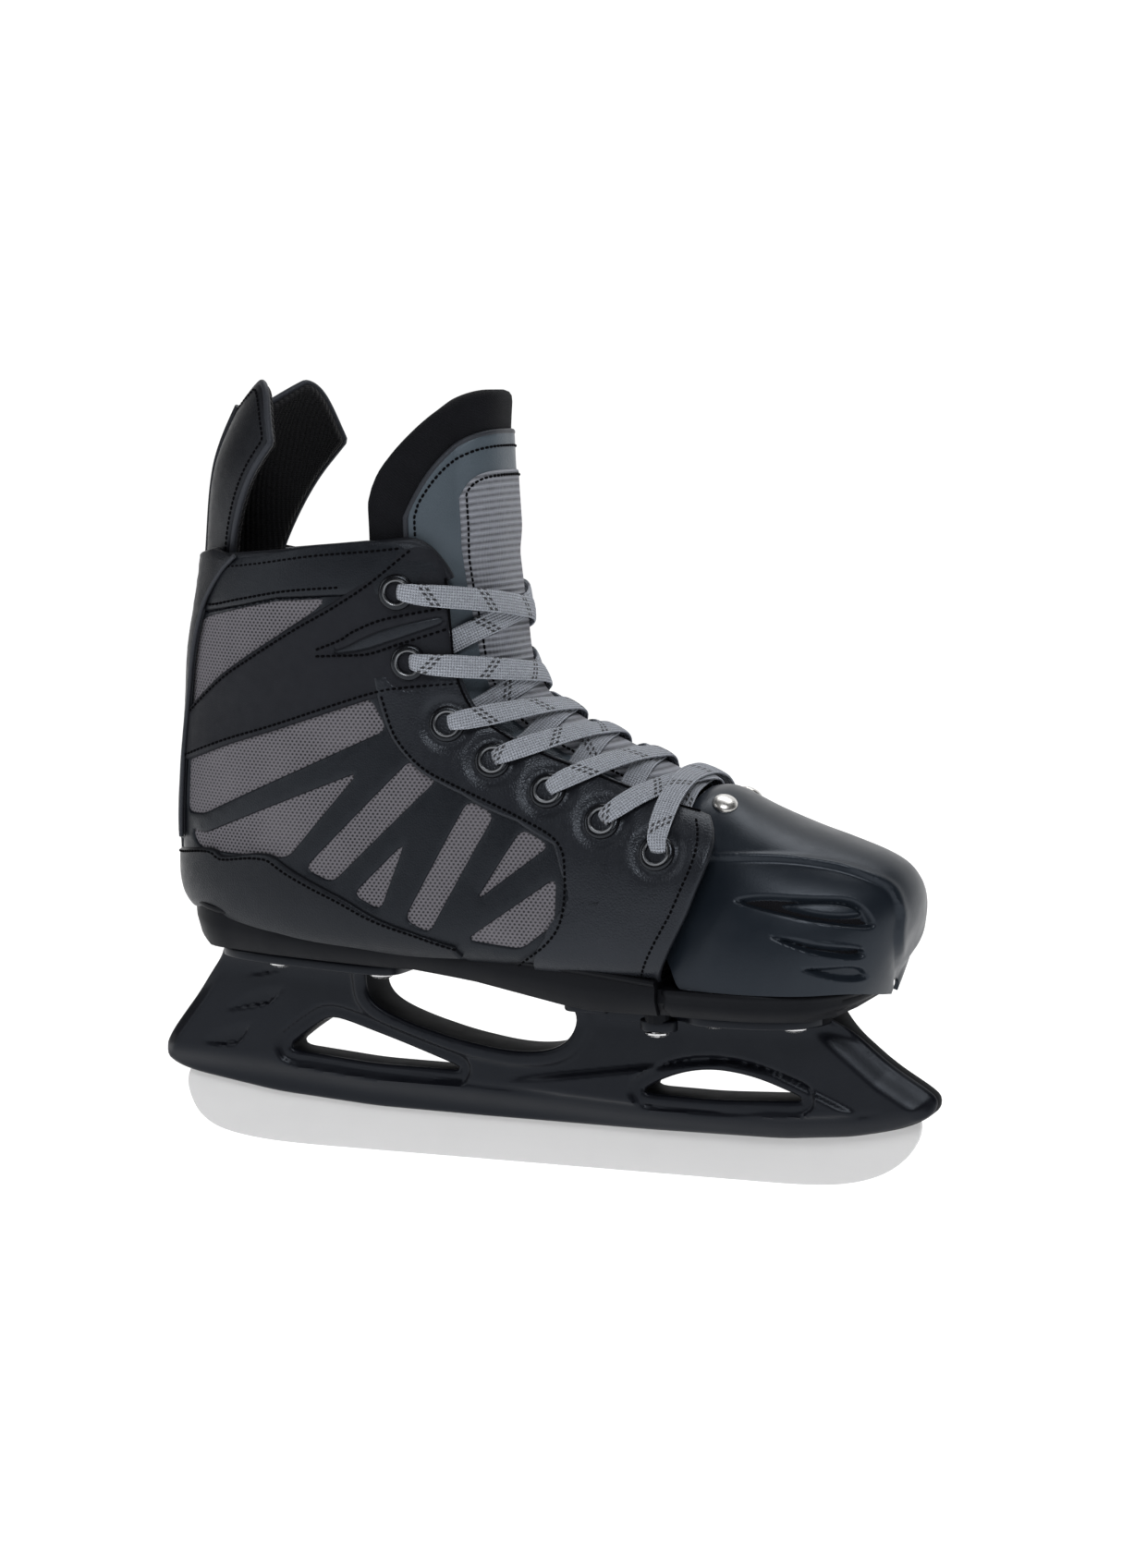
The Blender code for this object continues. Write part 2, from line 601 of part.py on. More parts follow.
def make_eyelet(name, index, side, mat):
    centre, normal = eyelet_frame(index, side)
    under = OVERLAY + 0.25
    profile = [(EYELET_HOLE, -QUARTER_THICK - GAP), (EYELET_BARREL, -QUARTER_THICK - GAP),
               (EYELET_BARREL, under),
               (EYELET_OUTER, under), (EYELET_HOLE + 0.8, under + 0.95), (EYELET_HOLE, under + 0.6)]
    return add_object(name, *turned(profile, centre, normal, 12), mat)


# The heel counter on one side, from its front tip to the back of the heel: top edge and lower edge as (x, z).
COUNTER_TOP = [(-16.0, 80.0), (-36.0, 85.4), (-56.2, 93.8), (-80.0, 104.5), (-89.0, 107.0),
               (-104.5, 105.0), (-114.0, 106.8)]
COUNTER_LOW = [(-14.0, 77.0), (-36.0, 76.6), (-56.0, 78.2), (-80.0, 80.4), (-89.0, 81.6), (-104.5, 84.4),
               (-114.0, 86.6)]
COUNTER_BACK = ((7.12, math.pi), (7.92, math.pi))       # the same two edges at the middle of the back


def make_heel_counter(mat):
    """The stiff leather cup round the heel, outside the quarters."""
    edges = [[find_on_side(x, z) for x, z in outline] + [back]
             for outline, back in zip((COUNTER_TOP, COUNTER_LOW), COUNTER_BACK)]
    steps = len(COUNTER_TOP)

    def place(u, v, offset):
        across = 2 * v - 1
        top, low = (eased(edge, steps * (1 - abs(across))) for edge in edges)
        s, angle = top + (low - top) * u
        return boot(s, math.copysign(angle, across), offset)

    return add_object("heel_counter", *shell(4, 5 * steps, place, OVERLAY + 2 * GAP, 3.2 * GAP), mat)


def make_ankle_padding(mat):
    def place(u, v, offset):
        s = COLLAR + 0.1 + (8.0 - COLLAR) * u
        return boot(s, math.pi - (2 * v - 1) * (math.pi - 1.66), offset)

    return add_object("ankle_padding", *shell(9, 18, place, PADDING[0], PADDING[1]), mat)


def make_footbed(mat):
    def place(u, v, offset):
        s = 8.9 + (TOE_END - 0.1 - 8.9) * u
        return boot(s, math.pi - (2 * v - 1) * 0.55, offset)

    return add_object("footbed", *shell(9, 6, place, -QUARTER_THICK - 2 * GAP,
                                        -QUARTER_THICK - 2 * GAP - 3.0), mat)


def tongue_offset(v):
    """The tongue's outer face stands proud between the facings and lies deep under them. v is across."""
    across = abs(2 * v - 1)
    return -0.4 - 5.0 * min(1.0, (across / 0.43) ** 2.5)


def tongue_reach(s):
    """Half the angle that the tongue covers. It narrows towards the toe."""
    return 1.4 - 0.06 * max(0.0, s - COLLAR)


def make_tongue_lower(mat):
    def place(u, v, offset):
        first, last = 2.52, 10.5
        s = first + (last - first) * u
        return boot(s, -tongue_reach(s) * (2 * v - 1), tongue_offset(v) + offset)

    return add_object("tongue_lower", *shell(15, 12, place, 0.0, lambda u, v: -7.0 + 2.0 * u), mat)


def make_tongue_flap(mat, parent):
    """The tongue's free upper end, with a rounded top."""
    def place(u, v, offset):
        across = 2 * v - 1
        low, high = 2.36, 1.55 - 1.33 * math.sqrt(max(0.0, 1 - abs(across) ** 2.4))
        s = low + (high - low) * u
        return boot(s, -tongue_reach(s) * across, tongue_offset(v) + offset)

    return add_object("tongue_flap", *shell(8, 12, place, 0.0, lambda u, v: -7.0 + 1.5 * u), mat, parent)


def guard_top(across):
    """Height of the tendon guard's top edge, as a section number: two peaks with a dip between them."""
    side = abs(across)
    if side > 0.72:
        return 0.03 + (side - 0.72) / 0.28 * 0.7
    return 0.26 - 0.23 * (side / 0.72) ** 1.6


def make_tendon_guard(mat, parent):
    def place(u, v, offset):
        across = 2 * v - 1
        low = COLLAR - 0.06
        s = low + (guard_top(across) - low) * u
        flare = 0.32 * math.sin(min(1.0, (low - s) / (low - 0.75)) * math.pi / 2) if s < low else 0.0
        return boot(s, math.pi - across * (0.84 + flare), offset)

    return add_object("tendon_guard", *shell(9, 20, place, -0.2, -5.2), mat, parent)


def make_toe_cap(mat, parent):
    def place(u, v, offset):
        return cap(u * (len(CAP_SECTIONS) - 1), (v - 0.5) * math.pi, offset)

    toe_cap = add_object("toe_cap", *shell(16, 18, place, 0.0, -CAP_THICK), mat, parent)
    plan = both_sides([(40.0, 45.0)] + [(x, w + 3.0) for x, w in TOE_PLAN[:-1]] + [(119.6, 0.0)])
    seat = plate(plan, 40.0, TOE_DECK + GAP)
    boolean(toe_cap, add_object("toe_sole_seat_cutter", *seat, None))
    lip = box((90.0, -45.0, 40.0), (150.0, 45.0, 66.4))
    boolean(toe_cap, add_object("cap_lip_cutter", *lip, None))
    holes = [pin([(RIVET_HOLE, -6.0), (RIVET_HOLE, 3.0)], *cap_rivet_frame(side), 14) for side in (-1, 1)]
    boolean(toe_cap, add_object("cap_rivet_hole_cutter", *merged(holes), None))
    return toe_cap


CAP_RIVET = (1.9, 0.36)          # section and angle of the cap's two rivets


def cap_rivet_frame(side):
    s, angle = CAP_RIVET
    low = cap(s, side * angle)
    return low, cap(s, side * angle, 1.0) - low


def make_toe_lining(mat, parent):
    """The soft inner toe box. A flap at its rear end reaches back under the tongue and slides there."""
    flap = 0.2

    def place(u, v, offset):
        across = 2 * v - 1
        if u >= flap:
            return cap(0.5 + 10.3 * (u - flap) / (1 - flap), across * 1.25, offset)
        back = 1 - u / flap
        point = cap(0.5, across * (1.25 - 0.8 * min(1.0, 1.6 * back)), offset)
        return point + np.array([-24.0, 0.0, -4.5]) * back

    inner = -CAP_THICK - 2 * GAP
    return add_object("toe_lining", *shell(16, 12, place, inner, inner - 1.8), mat, parent)


# ---------------------------------------------------------------- fasteners and size lock

def make_cap_rivet(name, side, mat, parent):
    centre, normal = cap_rivet_frame(side)
    profile = [(RIVET_SHANK, -CAP_THICK - GAP), (RIVET_SHANK, GAP), (RIVET_HEAD, GAP),
               (RIVET_HEAD - 0.3, 0.9),
               (RIVET_HEAD - 1.6, 1.7), (0.9, 2.0)]
    return add_object(name, *pin(profile, centre, normal, 16), mat, parent)


def make_rear_rivet(name, place, side, mat):
    """A rivet up through the rear flange and the sole, with a flat head under the flange."""
    x, y = place
    under = rear_deck(x) - FLANGE_THICK - GAP
    profile = [(RIVET_HEAD - 1.4, under - 1.4), (RIVET_HEAD, under - 0.5), (RIVET_HEAD, under),
               (RIVET_SHANK, under),
               (RIVET_SHANK, rear_deck(x) + 2.2)]
    return add_object(name, *pin(profile, (x, side * y, 0.0), (0, 0, 1), 12), mat)


def make_slide_pin(name, place, side, mat):
    """A shoulder rivet through the front flange. The toe sole slides along it, under its upper head."""
    x, y = place
    under = FRONT_DECK - FLANGE_THICK - GAP
    over = TAIL_HIGH + GAP
    profile = [(RIVET_HEAD - 1.4, under - 1.4), (RIVET_HEAD, under - 0.5), (RIVET_HEAD, under),
               (RIVET_SHANK, under),
               (RIVET_SHANK, over), (RIVET_HEAD, over), (RIVET_HEAD, over + 0.6),
               (RIVET_HEAD - 1.2, over + 1.4)]
    return add_object(name, *pin(profile, (x, side * y, 0.0), (0, 0, 1), 12), mat)


def make_bush(name, side, mat):
    """The round spacer between the heel sole's front end and the holder's ear."""
    low, high = EAR_TOP + GAP, FRONT_DECK
    profile = [(RIVET_HOLE, low), (4.4, low), (4.4, high), (RIVET_HOLE, high)]
    return add_object(name, *turned(profile, (BUSH_PLACE[0], side * BUSH_PLACE[1], 0.0), (0, 0, 1), 14),
                      mat)


def make_ear_rivet(name, side, mat):
    """The rivet through the holder's ear and the bush into the front of the heel sole."""
    under = EAR_TOP - 2.8 - GAP
    profile = [(RIVET_HEAD - 1.4, under - 1.4), (RIVET_HEAD, under - 0.5), (RIVET_HEAD, under),
               (RIVET_SHANK, under),
               (RIVET_SHANK, 66.0)]
    return add_object(name, *pin(profile, (BUSH_PLACE[0], side * BUSH_PLACE[1], 0.0), (0, 0, 1), 12), mat)


def make_lock_button(mat, parent):
    """The size button: a bar across the holder with a finger pad at its inner end and a catch."""
    rear, front, floor = BUTTON_RECESS
    low, high = floor + GAP, FRONT_DECK - GAP
    bar = add_object("size_button", *box((rear + 1.2, -1.0, low), (front - 1.2, 26.0, high)), mat, parent)
    pad = plate([(rear + GAP, 22.0), (front - GAP, 22.0), (front - GAP, 28.0), (front - 2.0, 29.6),
                 (rear + 2.0, 29.6),
                 (rear + GAP, 28.0)], low, high)
    boolean(bar, add_object("button_pad_shape", *pad, None), "UNION")
    return bar


def make_button_spring(mat):
    """A coil spring's outer shape, between the button and the recess's closed end."""
    rear, front, floor = BUTTON_RECESS
    centre = ((rear + front) / 2, 0.0, (floor + FRONT_DECK) / 2)
    profile = [(1.9, -12.0 + GAP), (1.9, -1.0 - GAP)]
    return add_object("button_spring", *pin(profile, centre, (0, 1, 0), 12), mat)


# ---------------------------------------------------------------- lace

def lace_station(s, angle, height, half=LACE_WIDTH / 2):
    """One station of the lace: its middle, the boot's normal there and half the lace's width."""
    low = boot(s, angle)
    normal = boot(s, angle, 1.0) - low
    return low + normal * height, normal, half


def strand_height(ratio, leaving, crown):
    """Height of a strand over the boot. ratio is its angle over the angle of the facing's edge."""
    if leaving:
        return float(np.interp(ratio, (0.0, 0.55, 1.0, 1.3), (crown, crown, 3.2, 4.1)))
    return float(np.interp(ratio, (0.0, 0.28, 0.84, 1.1), (crown, crown - 0.4, -3.5, -3.9)))


def through_eyelet(index, side):
    """Stations from the inside of an eyelet out to just above it."""
    s, angle = EYELET_PLACES[index]
    return [lace_station(s, side * angle, height, LACE_NARROW / 2) for height in (-4.3, -0.4, 3.1)]


def strand(index, side):
    """From an eyelet on one side over the tongue, then under the other facing to the next eyelet down."""
    (s0, a0), (s1, a1) = EYELET_PLACES[index], EYELET_PLACES[index + 1]
    crown = 2.8 if side > 0 else 1.05
    stations = through_eyelet(index, side)
    for step in range(1, 13):
        fraction = 0.06 + 0.9 * (step - 1) / 11
        s = s0 + (s1 - s0) * fraction
        angle = a0 - (a0 + a1) * fraction
        edge = facing_angle(s, FACING_HALF_GAP - 2.0)
        half = LACE_WIDTH / 2 - (1.0 if step in (1, 12) else 0.0)
        stations.append(lace_station(s, side * angle, strand_height(abs(angle) / edge, angle > 0, crown),
                                     half))
    return stations


def bar():
    """The straight run between the lowest pair of eyelets, from the outer side to the inner."""
    s, angle = EYELET_PLACES[-1]
    run = [lace_station(s - 0.9 * (1 - abs(1 - 2 * f) ** 1.5), angle * (1 - 2 * f), 4.1,
                        LACE_WIDTH / 2 - (1.0 if f in (0.06, 0.94) else 0.0))
           for f in (0.06, 0.14, 0.24, 0.34, 0.45, 0.55, 0.66, 0.76, 0.86, 0.94)]
    return through_eyelet(6, 1) + run + through_eyelet(6, -1)[::-1]


def tail(side):
    """The lace's end: from inside the top eyelet, between tongue and padding, and down inside the boot."""
    s, angle = EYELET_PLACES[0]
    path = ((0.02, 0.1, -4.1), (0.03, 0.18, -4.6), (0.05, 0.22, -7.0), (0.08, 0.23, -10.0),
            (0.14, 0.28, -12.6),
            (0.35, 0.42, -12.8), (0.8, 0.5, -12.0), (1.5, 0.52, -11.0), (2.4, 0.52, -10.5),
            (3.4, 0.5, -10.5),
            (4.4, 0.48, -10.5))
    stations = [lace_station(s + ds, side * (angle + turn), height) for ds, turn, height in path]
    stations.append(lace_station(s + 4.55, side * (angle + 0.48), -10.5, 1.4))
    return stations


def lace_route():
    """Every station in order, from one end inside the boot to the other, without near repeats."""
    route = tail(1)[::-1]
    for index in range(6):
        route += strand(index, (-1) ** index)
    route += bar()
    for index in range(5, -1, -1):
        route += strand(index, (-1) ** (index + 1))[::-1]
    route += tail(-1)
    kept = route[:1]
    for station in route[1:]:
        if np.linalg.norm(station[0] - kept[-1][0]) > 1.0:
            kept.append(station)
    return kept


def lace_rings(route):
    """A flat cross section at every station, turned so that the lace lies flat and never flips over."""
    points = np.array([point for point, _, _ in route])
    ahead = np.gradient(points, axis=0)
    ahead /= np.linalg.norm(ahead, axis=1)[:, None]
    across = np.cross([normal for _, normal, _ in route], ahead)
    size = np.linalg.norm(across, axis=1)
    firm = [i for i in range(len(route)) if size[i] > 0.6]
    rings, last = [], None
    for i, (point, _, half) in enumerate(route):
        before = max((k for k in firm if k <= i), default=firm[0])
        after = min((k for k in firm if k >= i), default=firm[-1])
        one, two = across[before] / size[before], across[after] / size[after]
        wide = one + math.copysign(1.0, one @ two) * two
        wide -= ahead[i] * (wide @ ahead[i])
        wide /= np.linalg.norm(wide)
        if last is not None and wide @ last < 0:
            wide = -wide
        last = wide
        up = np.cross(ahead[i], wide) * LACE_THICK / 2
        rings.append([tuple(point + wide * half * a + up * b) for a,
                      b in ((-1, -1), (1, -1), (1, 1), (-1, 1))])
    return rings


def make_lace(mat):
    return add_object("lace", *stack(lace_rings(lace_route())), mat)


def make_aglet(name, side, mat):
    """The hard tip on an end of the lace."""
    stations = tail(side)
    end, before = stations[-1][0], stations[-2][0]
    profile = [(1.2, GAP), (1.7, GAP + 0.5), (1.7, 18.0), (1.2, 19.0)]
    return add_object(name, *pin(profile, end, end - before, 10), mat)


# ---------------------------------------------------------------- build

def main():
    clear_scene()
    plastic = material("holder_plastic", (0.025, 0.026, 0.031), 0.4)
    steel = material("runner_steel", (0.62, 0.63, 0.64), 0.25, 1.0)
    sole = material("sole_plastic", (0.017, 0.018, 0.02), 0.6)
    quarter = material("quarter_leather", (0.036, 0.039, 0.045), 0.5)
    panel = material("facing_leather", (0.038, 0.04, 0.047), 0.45)
    tongue_cloth = material("tongue_leather", (0.09, 0.11, 0.13), 0.5)
    heel = material("heel_leather", (0.028, 0.027, 0.034), 0.5)
    lining = material("lining_fabric", (0.005, 0.005, 0.006), 0.9)
    shell_plastic = material("cap_plastic", (0.032, 0.037, 0.046), 0.45)
    fastener = material("rivet_steel", (0.45, 0.45, 0.47), 0.35, 1.0)
    eyelet = material("eyelet_metal", (0.5, 0.5, 0.52), 0.3, 1.0)
    button = material("button_plastic", (0.03, 0.03, 0.034), 0.35)
    lace = material("lace_fabric", (0.21, 0.23, 0.26), 0.8)
    tip = material("aglet_plastic", (0.08, 0.08, 0.09), 0.3)
    make_holder(plastic)
    make_runner(steel)
    make_heel_sole(sole)
    toe = pivot("toe_slide_axis", (54.0, 0.0, FRONT_DECK))
    make_toe_sole(sole, toe)
    make_toe_cap(shell_plastic, toe)
    make_toe_lining(lining, toe)
    press = pivot("button_axis", (36.0, 0.0, 57.0))
    make_lock_button(button, press)
    make_button_spring(fastener)
    for word, side in (("outer", 1), ("inner", -1)):
        make_quarter("quarter_" + word, side, quarter)
        make_facing("facing_" + word, side, panel)
        for index in range(len(EYELETS)):
            make_eyelet(f"eyelet_{word}_{index + 1}", index, side, eyelet)
        make_cap_rivet("cap_rivet_" + word, side, fastener, toe)
        make_bush("sole_bush_" + word, -side, button)
        make_ear_rivet("ear_rivet_" + word, -side, fastener)
        for index, place in enumerate(REAR_RIVETS):
            make_rear_rivet(f"rear_rivet_{word}_{index + 1}", place, -side, fastener)
        for index, place in enumerate(PIN_PLACES):
            make_slide_pin(f"slide_pin_{word}_{index + 1}", place, -side, fastener)
        make_aglet("aglet_" + word, side, tip)
    make_heel_counter(heel)
    make_ankle_padding(lining)
    make_footbed(lining)
    make_tongue_lower(tongue_cloth)
    tongue = pivot("tongue_axis", (TONGUE_HINGE[0], 0.0, TONGUE_HINGE[1]))
    make_tongue_flap(tongue_cloth, tongue)
    guard = pivot("guard_axis", (GUARD_HINGE[0], 0.0, GUARD_HINGE[1]))
    make_tendon_guard(heel, guard)
    make_lace(lace)


main()
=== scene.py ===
"""The look of the adjustable ice skate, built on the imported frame.

Tables are in millimetres, in the frame of the CAD model: +X to the toe, -Y to the outer side, +Z up.
"""

import math
from math import pi

import bmesh
import bpy
import numpy as np
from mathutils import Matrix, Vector
from mathutils.bvhtree import BVHTree
from mathutils.geometry import delaunay_2d_cdt


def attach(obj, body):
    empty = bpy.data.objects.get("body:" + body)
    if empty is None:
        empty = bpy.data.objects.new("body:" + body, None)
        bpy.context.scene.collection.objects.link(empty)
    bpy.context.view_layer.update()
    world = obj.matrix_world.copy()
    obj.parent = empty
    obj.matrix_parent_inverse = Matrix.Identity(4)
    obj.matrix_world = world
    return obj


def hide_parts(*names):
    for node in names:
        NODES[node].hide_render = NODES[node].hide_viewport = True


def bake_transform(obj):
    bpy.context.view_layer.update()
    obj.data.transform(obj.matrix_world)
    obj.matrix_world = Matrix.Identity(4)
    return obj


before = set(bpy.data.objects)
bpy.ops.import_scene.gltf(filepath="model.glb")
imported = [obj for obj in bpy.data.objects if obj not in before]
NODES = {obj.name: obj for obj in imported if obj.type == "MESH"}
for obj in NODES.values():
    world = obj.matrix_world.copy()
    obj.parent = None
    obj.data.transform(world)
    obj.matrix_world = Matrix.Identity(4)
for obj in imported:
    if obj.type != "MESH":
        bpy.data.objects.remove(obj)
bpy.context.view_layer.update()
scene = bpy.context.scene

MM = 0.001
SIDES = (("outer", 1), ("inner", -1))

# The boot's form. Sections from above the collar to the front edge of the quarters: front (x, z), back or
# bottom (x, z), middle (x, z), half width, and the roundness of front and back.
BOOT = np.array([
    (-13, 268, -104, 266, -60, 267, 30, 2.4, 2),
    (-12.6, 240, -118, 238, -62, 239, 34.5, 2.5, 2),
    (-11, 216, -122.5, 205, -62, 210, 35.5, 2.5, 2),
    (-9.3, 201, -125, 190, -62, 195, 36, 2.5, 2),
    (-7.3, 188, -128, 173, -62, 179, 35.5, 2.5, 2),
    (-4.8, 172, -129.4, 153, -60, 160, 35, 2.5, 2),
    (1, 161.5, -131.4, 130, -54, 142, 35.2, 2.5, 2.1),
    (11, 154.5, -131.6, 107, -45, 126, 36, 2.6, 2.2),
    (22, 149, -126, 86, -33, 113, 37, 2.7, 2.6),
    (34, 143.5, -92, 75.5, -14, 104, 38, 2.8, 3.6),
    (46, 138, -45, 72.5, 9, 99, 39, 2.8, 4),
    (57, 133, 2, 70.5, 31, 96, 40, 2.8, 4),
    (68, 129.5, 32, 69.5, 50, 95, 40.5, 2.8, 4),
    (78, 126.5, 53, 69.5, 66, 95, 40.5, 2.8, 4)])
COLLAR, TOE_END = 2, 13.0
# Sections of the toe cap: crown (x, z), foot (x, z) and half width at the foot.
CAP = np.array([
    (60.5, 132.4, 36, 83, 33),
    (66, 133.2, 53.5, 81.5, 33.8),
    (71.5, 132, 61.5, 69.5, 36),
    (83, 126.6, 74, 69.5, 38.6),
    (96, 121.6, 87, 69.5, 39),
    (109, 117.3, 98, 69.5, 37.5),
    (119.5, 113, 106, 69.5, 34.5),
    (127, 108, 112, 69.5, 30.5),
    (131.4, 101.5, 116.5, 69.2, 26),
    (132.6, 94, 120.2, 68.6, 21),
    (131.6, 86, 122.8, 67.8, 15.5),
    (129.4, 78, 124.6, 67, 9.5),
    (127.2, 71, 125.6, 66.4, 4)])
CAP_ROUND = 2.15
EYELETS = [(-38, 196.8), (-34.3, 173.5), (-21.2, 153), (-4.8, 141.3), (15.2, 132), (35, 123), (55, 114)]


# ---- camera

CAMERA_AT, CAMERA_AIM, CAMERA_LENS = (0.4189, -1.0952, 0.2634), (0.0073, 0, 0.131), 53.29


def add_camera():
    camera = bpy.data.objects.new("camera", bpy.data.cameras.new("camera"))
    scene.collection.objects.link(camera)
    camera.location = CAMERA_AT
    camera.rotation_euler = (Vector(CAMERA_AIM) - camera.location).to_track_quat("-Z", "Y").to_euler()
    camera.data.sensor_fit = "VERTICAL"
    camera.data.sensor_height = 24.0
    camera.data.lens = CAMERA_LENS
    camera.data.clip_start = 0.01
    scene.camera = camera


add_camera()


# ---- materials

class Paint:
    """A node material under construction."""

    def __init__(self, name, colour, rough, metallic=0):
        self.mat = bpy.data.materials.new(name)
        self.mat.use_nodes = True
        self.tree = self.mat.node_tree
        self.shader = self.tree.nodes["Principled BSDF"]
        self.colour = (*colour, 1)
        self.mat.diffuse_color = self.colour
        self.normal = None
        self.set({"Base Color": self.colour, "Roughness": rough, "Metallic": metallic})

    def set(self, values):
        for key, value in values.items():
            self.shader.inputs[key].default_value = value

    def node(self, kind, links=(), **settings):
        made = self.tree.nodes.new(kind)
        for key, value in settings.items():
            setattr(made, key, value)
        for key, value in dict(links).items():
            if isinstance(value, bpy.types.NodeSocket):
                self.tree.links.new(value, made.inputs[key])
            else:
                made.inputs[key].default_value = value
        return made

    def math(self, operation, a, b=0):
        return self.node("ShaderNodeMath", {0: a, 1: b}, operation=operation).outputs[0]

    def wave(self, value, pitch):
        return self.math("SINE", self.math("MULTIPLY", value, 2 * pi / pitch))

    def place(self, scale=(1, 1, 1), kind="Object"):
        coords = self.node("ShaderNodeTexCoord").outputs[kind]
        return self.node("ShaderNodeMapping", {"Vector": coords, "Scale": scale}).outputs[0]

    def mesh_place(self):
        """The mesh's own coordinates, in metres."""
        return self.node("ShaderNodeSeparateXYZ", {0: self.place(kind="UV")}).outputs

    def noise(self, size, detail=3, stretch=(1, 1, 1)):
        """Noise with features of about that size in metres."""
        where = self.place([v / size for v in stretch])
        return self.node("ShaderNodeTexNoise", {"Vector": where, "Scale": 1, "Detail": detail}).outputs[0]

    def cells(self, size):
        links = {"Vector": self.place([1 / size] * 3), "Scale": 1.0}
        return self.node("ShaderNodeTexVoronoi", links, feature="DISTANCE_TO_EDGE").outputs[0]

    def remap(self, value, low, high, to_low=0, to_high=1):
        return self.node("ShaderNodeMapRange", {0: value, 1: low, 2: high, 3: to_low, 4: to_high}).outputs[0]

    def tint(self, factor, colour):
        """Blends the base colour by a factor towards a colour, or towards its own multiple."""
        if not isinstance(colour, tuple):
            colour = [c * colour for c in self.colour[:3]]
        base = self.shader.inputs["Base Color"]
        current = base.links[0].from_socket if base.links else self.colour
        mix = self.node("ShaderNodeMix", {0: factor, 6: current, 7: (*colour, 1)}, data_type="RGBA")
        self.tree.links.new(mix.outputs[2], base)

    def mottle(self, size, detail, low, high, share, colour, stretch=(1, 1, 1)):
        """Soft patches of another colour."""
        self.tint(self.remap(self.noise(size, detail, stretch), low, high, 0, share), colour)

    def rough(self, value, low, high, to_low, to_high):
        self.tree.links.new(self.remap(value, low, high, to_low, to_high), self.shader.inputs["Roughness"])

    def bump(self, height, distance, strength=1):
        made = self.node("ShaderNodeBump", {"Height": height, "Distance": distance, "Strength": strength})
        if self.normal:
            self.tree.links.new(self.normal, made.inputs["Normal"])
        self.normal = made.outputs[0]
        self.tree.links.new(self.normal, self.shader.inputs["Normal"])


COOL = (0.8, 0.88, 1, 1)


def leather(name, colour, rough=0.42, grain=0.0009):
    paint = Paint(name, colour, rough)
    paint.bump(paint.remap(paint.cells(grain), 0, 0.25), 0.00012, 0.35)
    paint.bump(paint.noise(0.022, 2), 0.0016, 0.35)
    paint.mottle(0.018, 2, 0.35, 0.75, 0.3, 1.3)
    paint.rough(paint.noise(0.004), 0.3, 0.7, rough - 0.04, rough + 0.06)
    paint.set({"Specular IOR Level": 0.28, "Specular Tint": COOL})
    return paint.mat


def plastic(name, colour, rough=0.35, grain=0.0006, gloss=0.4):
    paint = Paint(name, colour, rough)
    paint.bump(paint.noise(grain), 0.00006, 0.5)
    scuffed = tuple(c * 1.5 + 0.003 for c in colour)
    paint.mottle(0.003, 5, 0.62, 0.85, 0.2, scuffed, (1, 1, 6))
    paint.rough(paint.noise(0.009, 4), 0.3, 0.7, rough - 0.03, rough + 0.06)
    paint.set({"Specular IOR Level": gloss, "Specular Tint": COOL})
    return paint.mat


def steel(name, colour, rough, stretch=(1, 1, 1), wear=0.5, metallic=1):
    paint = Paint(name, colour, rough, metallic)
    lines = paint.noise(0.0006, 4, stretch)
    paint.bump(lines, 0.00002, 0.5)
    paint.rough(lines, 0.25, 0.75, rough - 0.06, rough + 0.1)
    paint.mottle(0.012, 4, 0.45, 0.8, wear, 0.8)
    return paint.mat


def net_fabric():
    """Pale woven mesh with dark holes in staggered rows, a hole about every 1.6 mm."""
    paint = Paint("net_fabric", (0.135, 0.129, 0.148), 0.8)
    node = paint.math
    pitch_u, pitch_v = 0.00165, 0.0011
    across, along, _ = paint.mesh_place()
    row = node("DIVIDE", along, pitch_v)
    stagger = node("MULTIPLY", node("FLOOR", node("PINGPONG", node("FLOOR", row), 1)), 0.5)
    u = node("SUBTRACT", node("FRACT", node("ADD", node("DIVIDE", across, pitch_u), stagger)), 0.5)
    v = node("MULTIPLY", node("SUBTRACT", node("FRACT", row), 0.5), pitch_v / pitch_u * 1.25)
    away = node("SQRT", node("ADD", node("MULTIPLY", u, u), node("MULTIPLY", v, v)))
    yarn = paint.remap(away, 0.15, 0.34)
    paint.tint(paint.remap(away, 0.16, 0.34, 1, 0), (0.009, 0.009, 0.012))
    paint.mottle(0.02, 3, 0.4, 0.8, 0.3, (0.2, 0.19, 0.21))
    paint.bump(yarn, 0.0003, 0.8)
    paint.bump(paint.noise(0.0003, 2), 0.0001, 0.5)
    return paint.mat


def cloth(name, colour, pitch, rough, sheen, gloss):
    """A plain fine weave, with painted shade in its hollows."""
    paint = Paint(name, colour, rough)
    across, along, _ = paint.mesh_place()
    weave = paint.math("MULTIPLY", paint.wave(across, pitch), paint.wave(along, pitch))
    paint.bump(weave, 0.00012, 0.7)
    # Painted shade: the weave is darker where its bump dips.
    paint.tint(paint.remap(weave, -1, 0.2, 0.45, 0), 0.4)
    paint.mottle(0.006, 4, 0.4, 0.8, 0.4, 1.6)
    paint.set({"Specular IOR Level": gloss, "Sheen Weight": sheen, "Sheen Roughness": 0.4})
    return paint.mat


def ribbed(name, colour, pitch, along, depth, sheen):
    """Cloth with ribs and painted shade in the grooves between them. along is the mesh coordinate that crosses them."""
    paint = Paint(name, colour, 0.8)
    where = paint.mesh_place()
    rib, fine = paint.wave(where[along], pitch), paint.wave(where[1 - along], 0.0008)
    paint.bump(rib, depth, 0.8)
    paint.bump(fine, 0.0001, 0.6)
    # Painted shade: the grooves between the ribs are darker.
    paint.tint(paint.remap(rib, -1, 0.1, 0.9, 0), 0.3)
    paint.mottle(0.002, 3, 0.4, 0.8, 0.3, 1.3)
    paint.set({"Sheen Weight": sheen, "Specular IOR Level": 0.25})
    return paint.mat


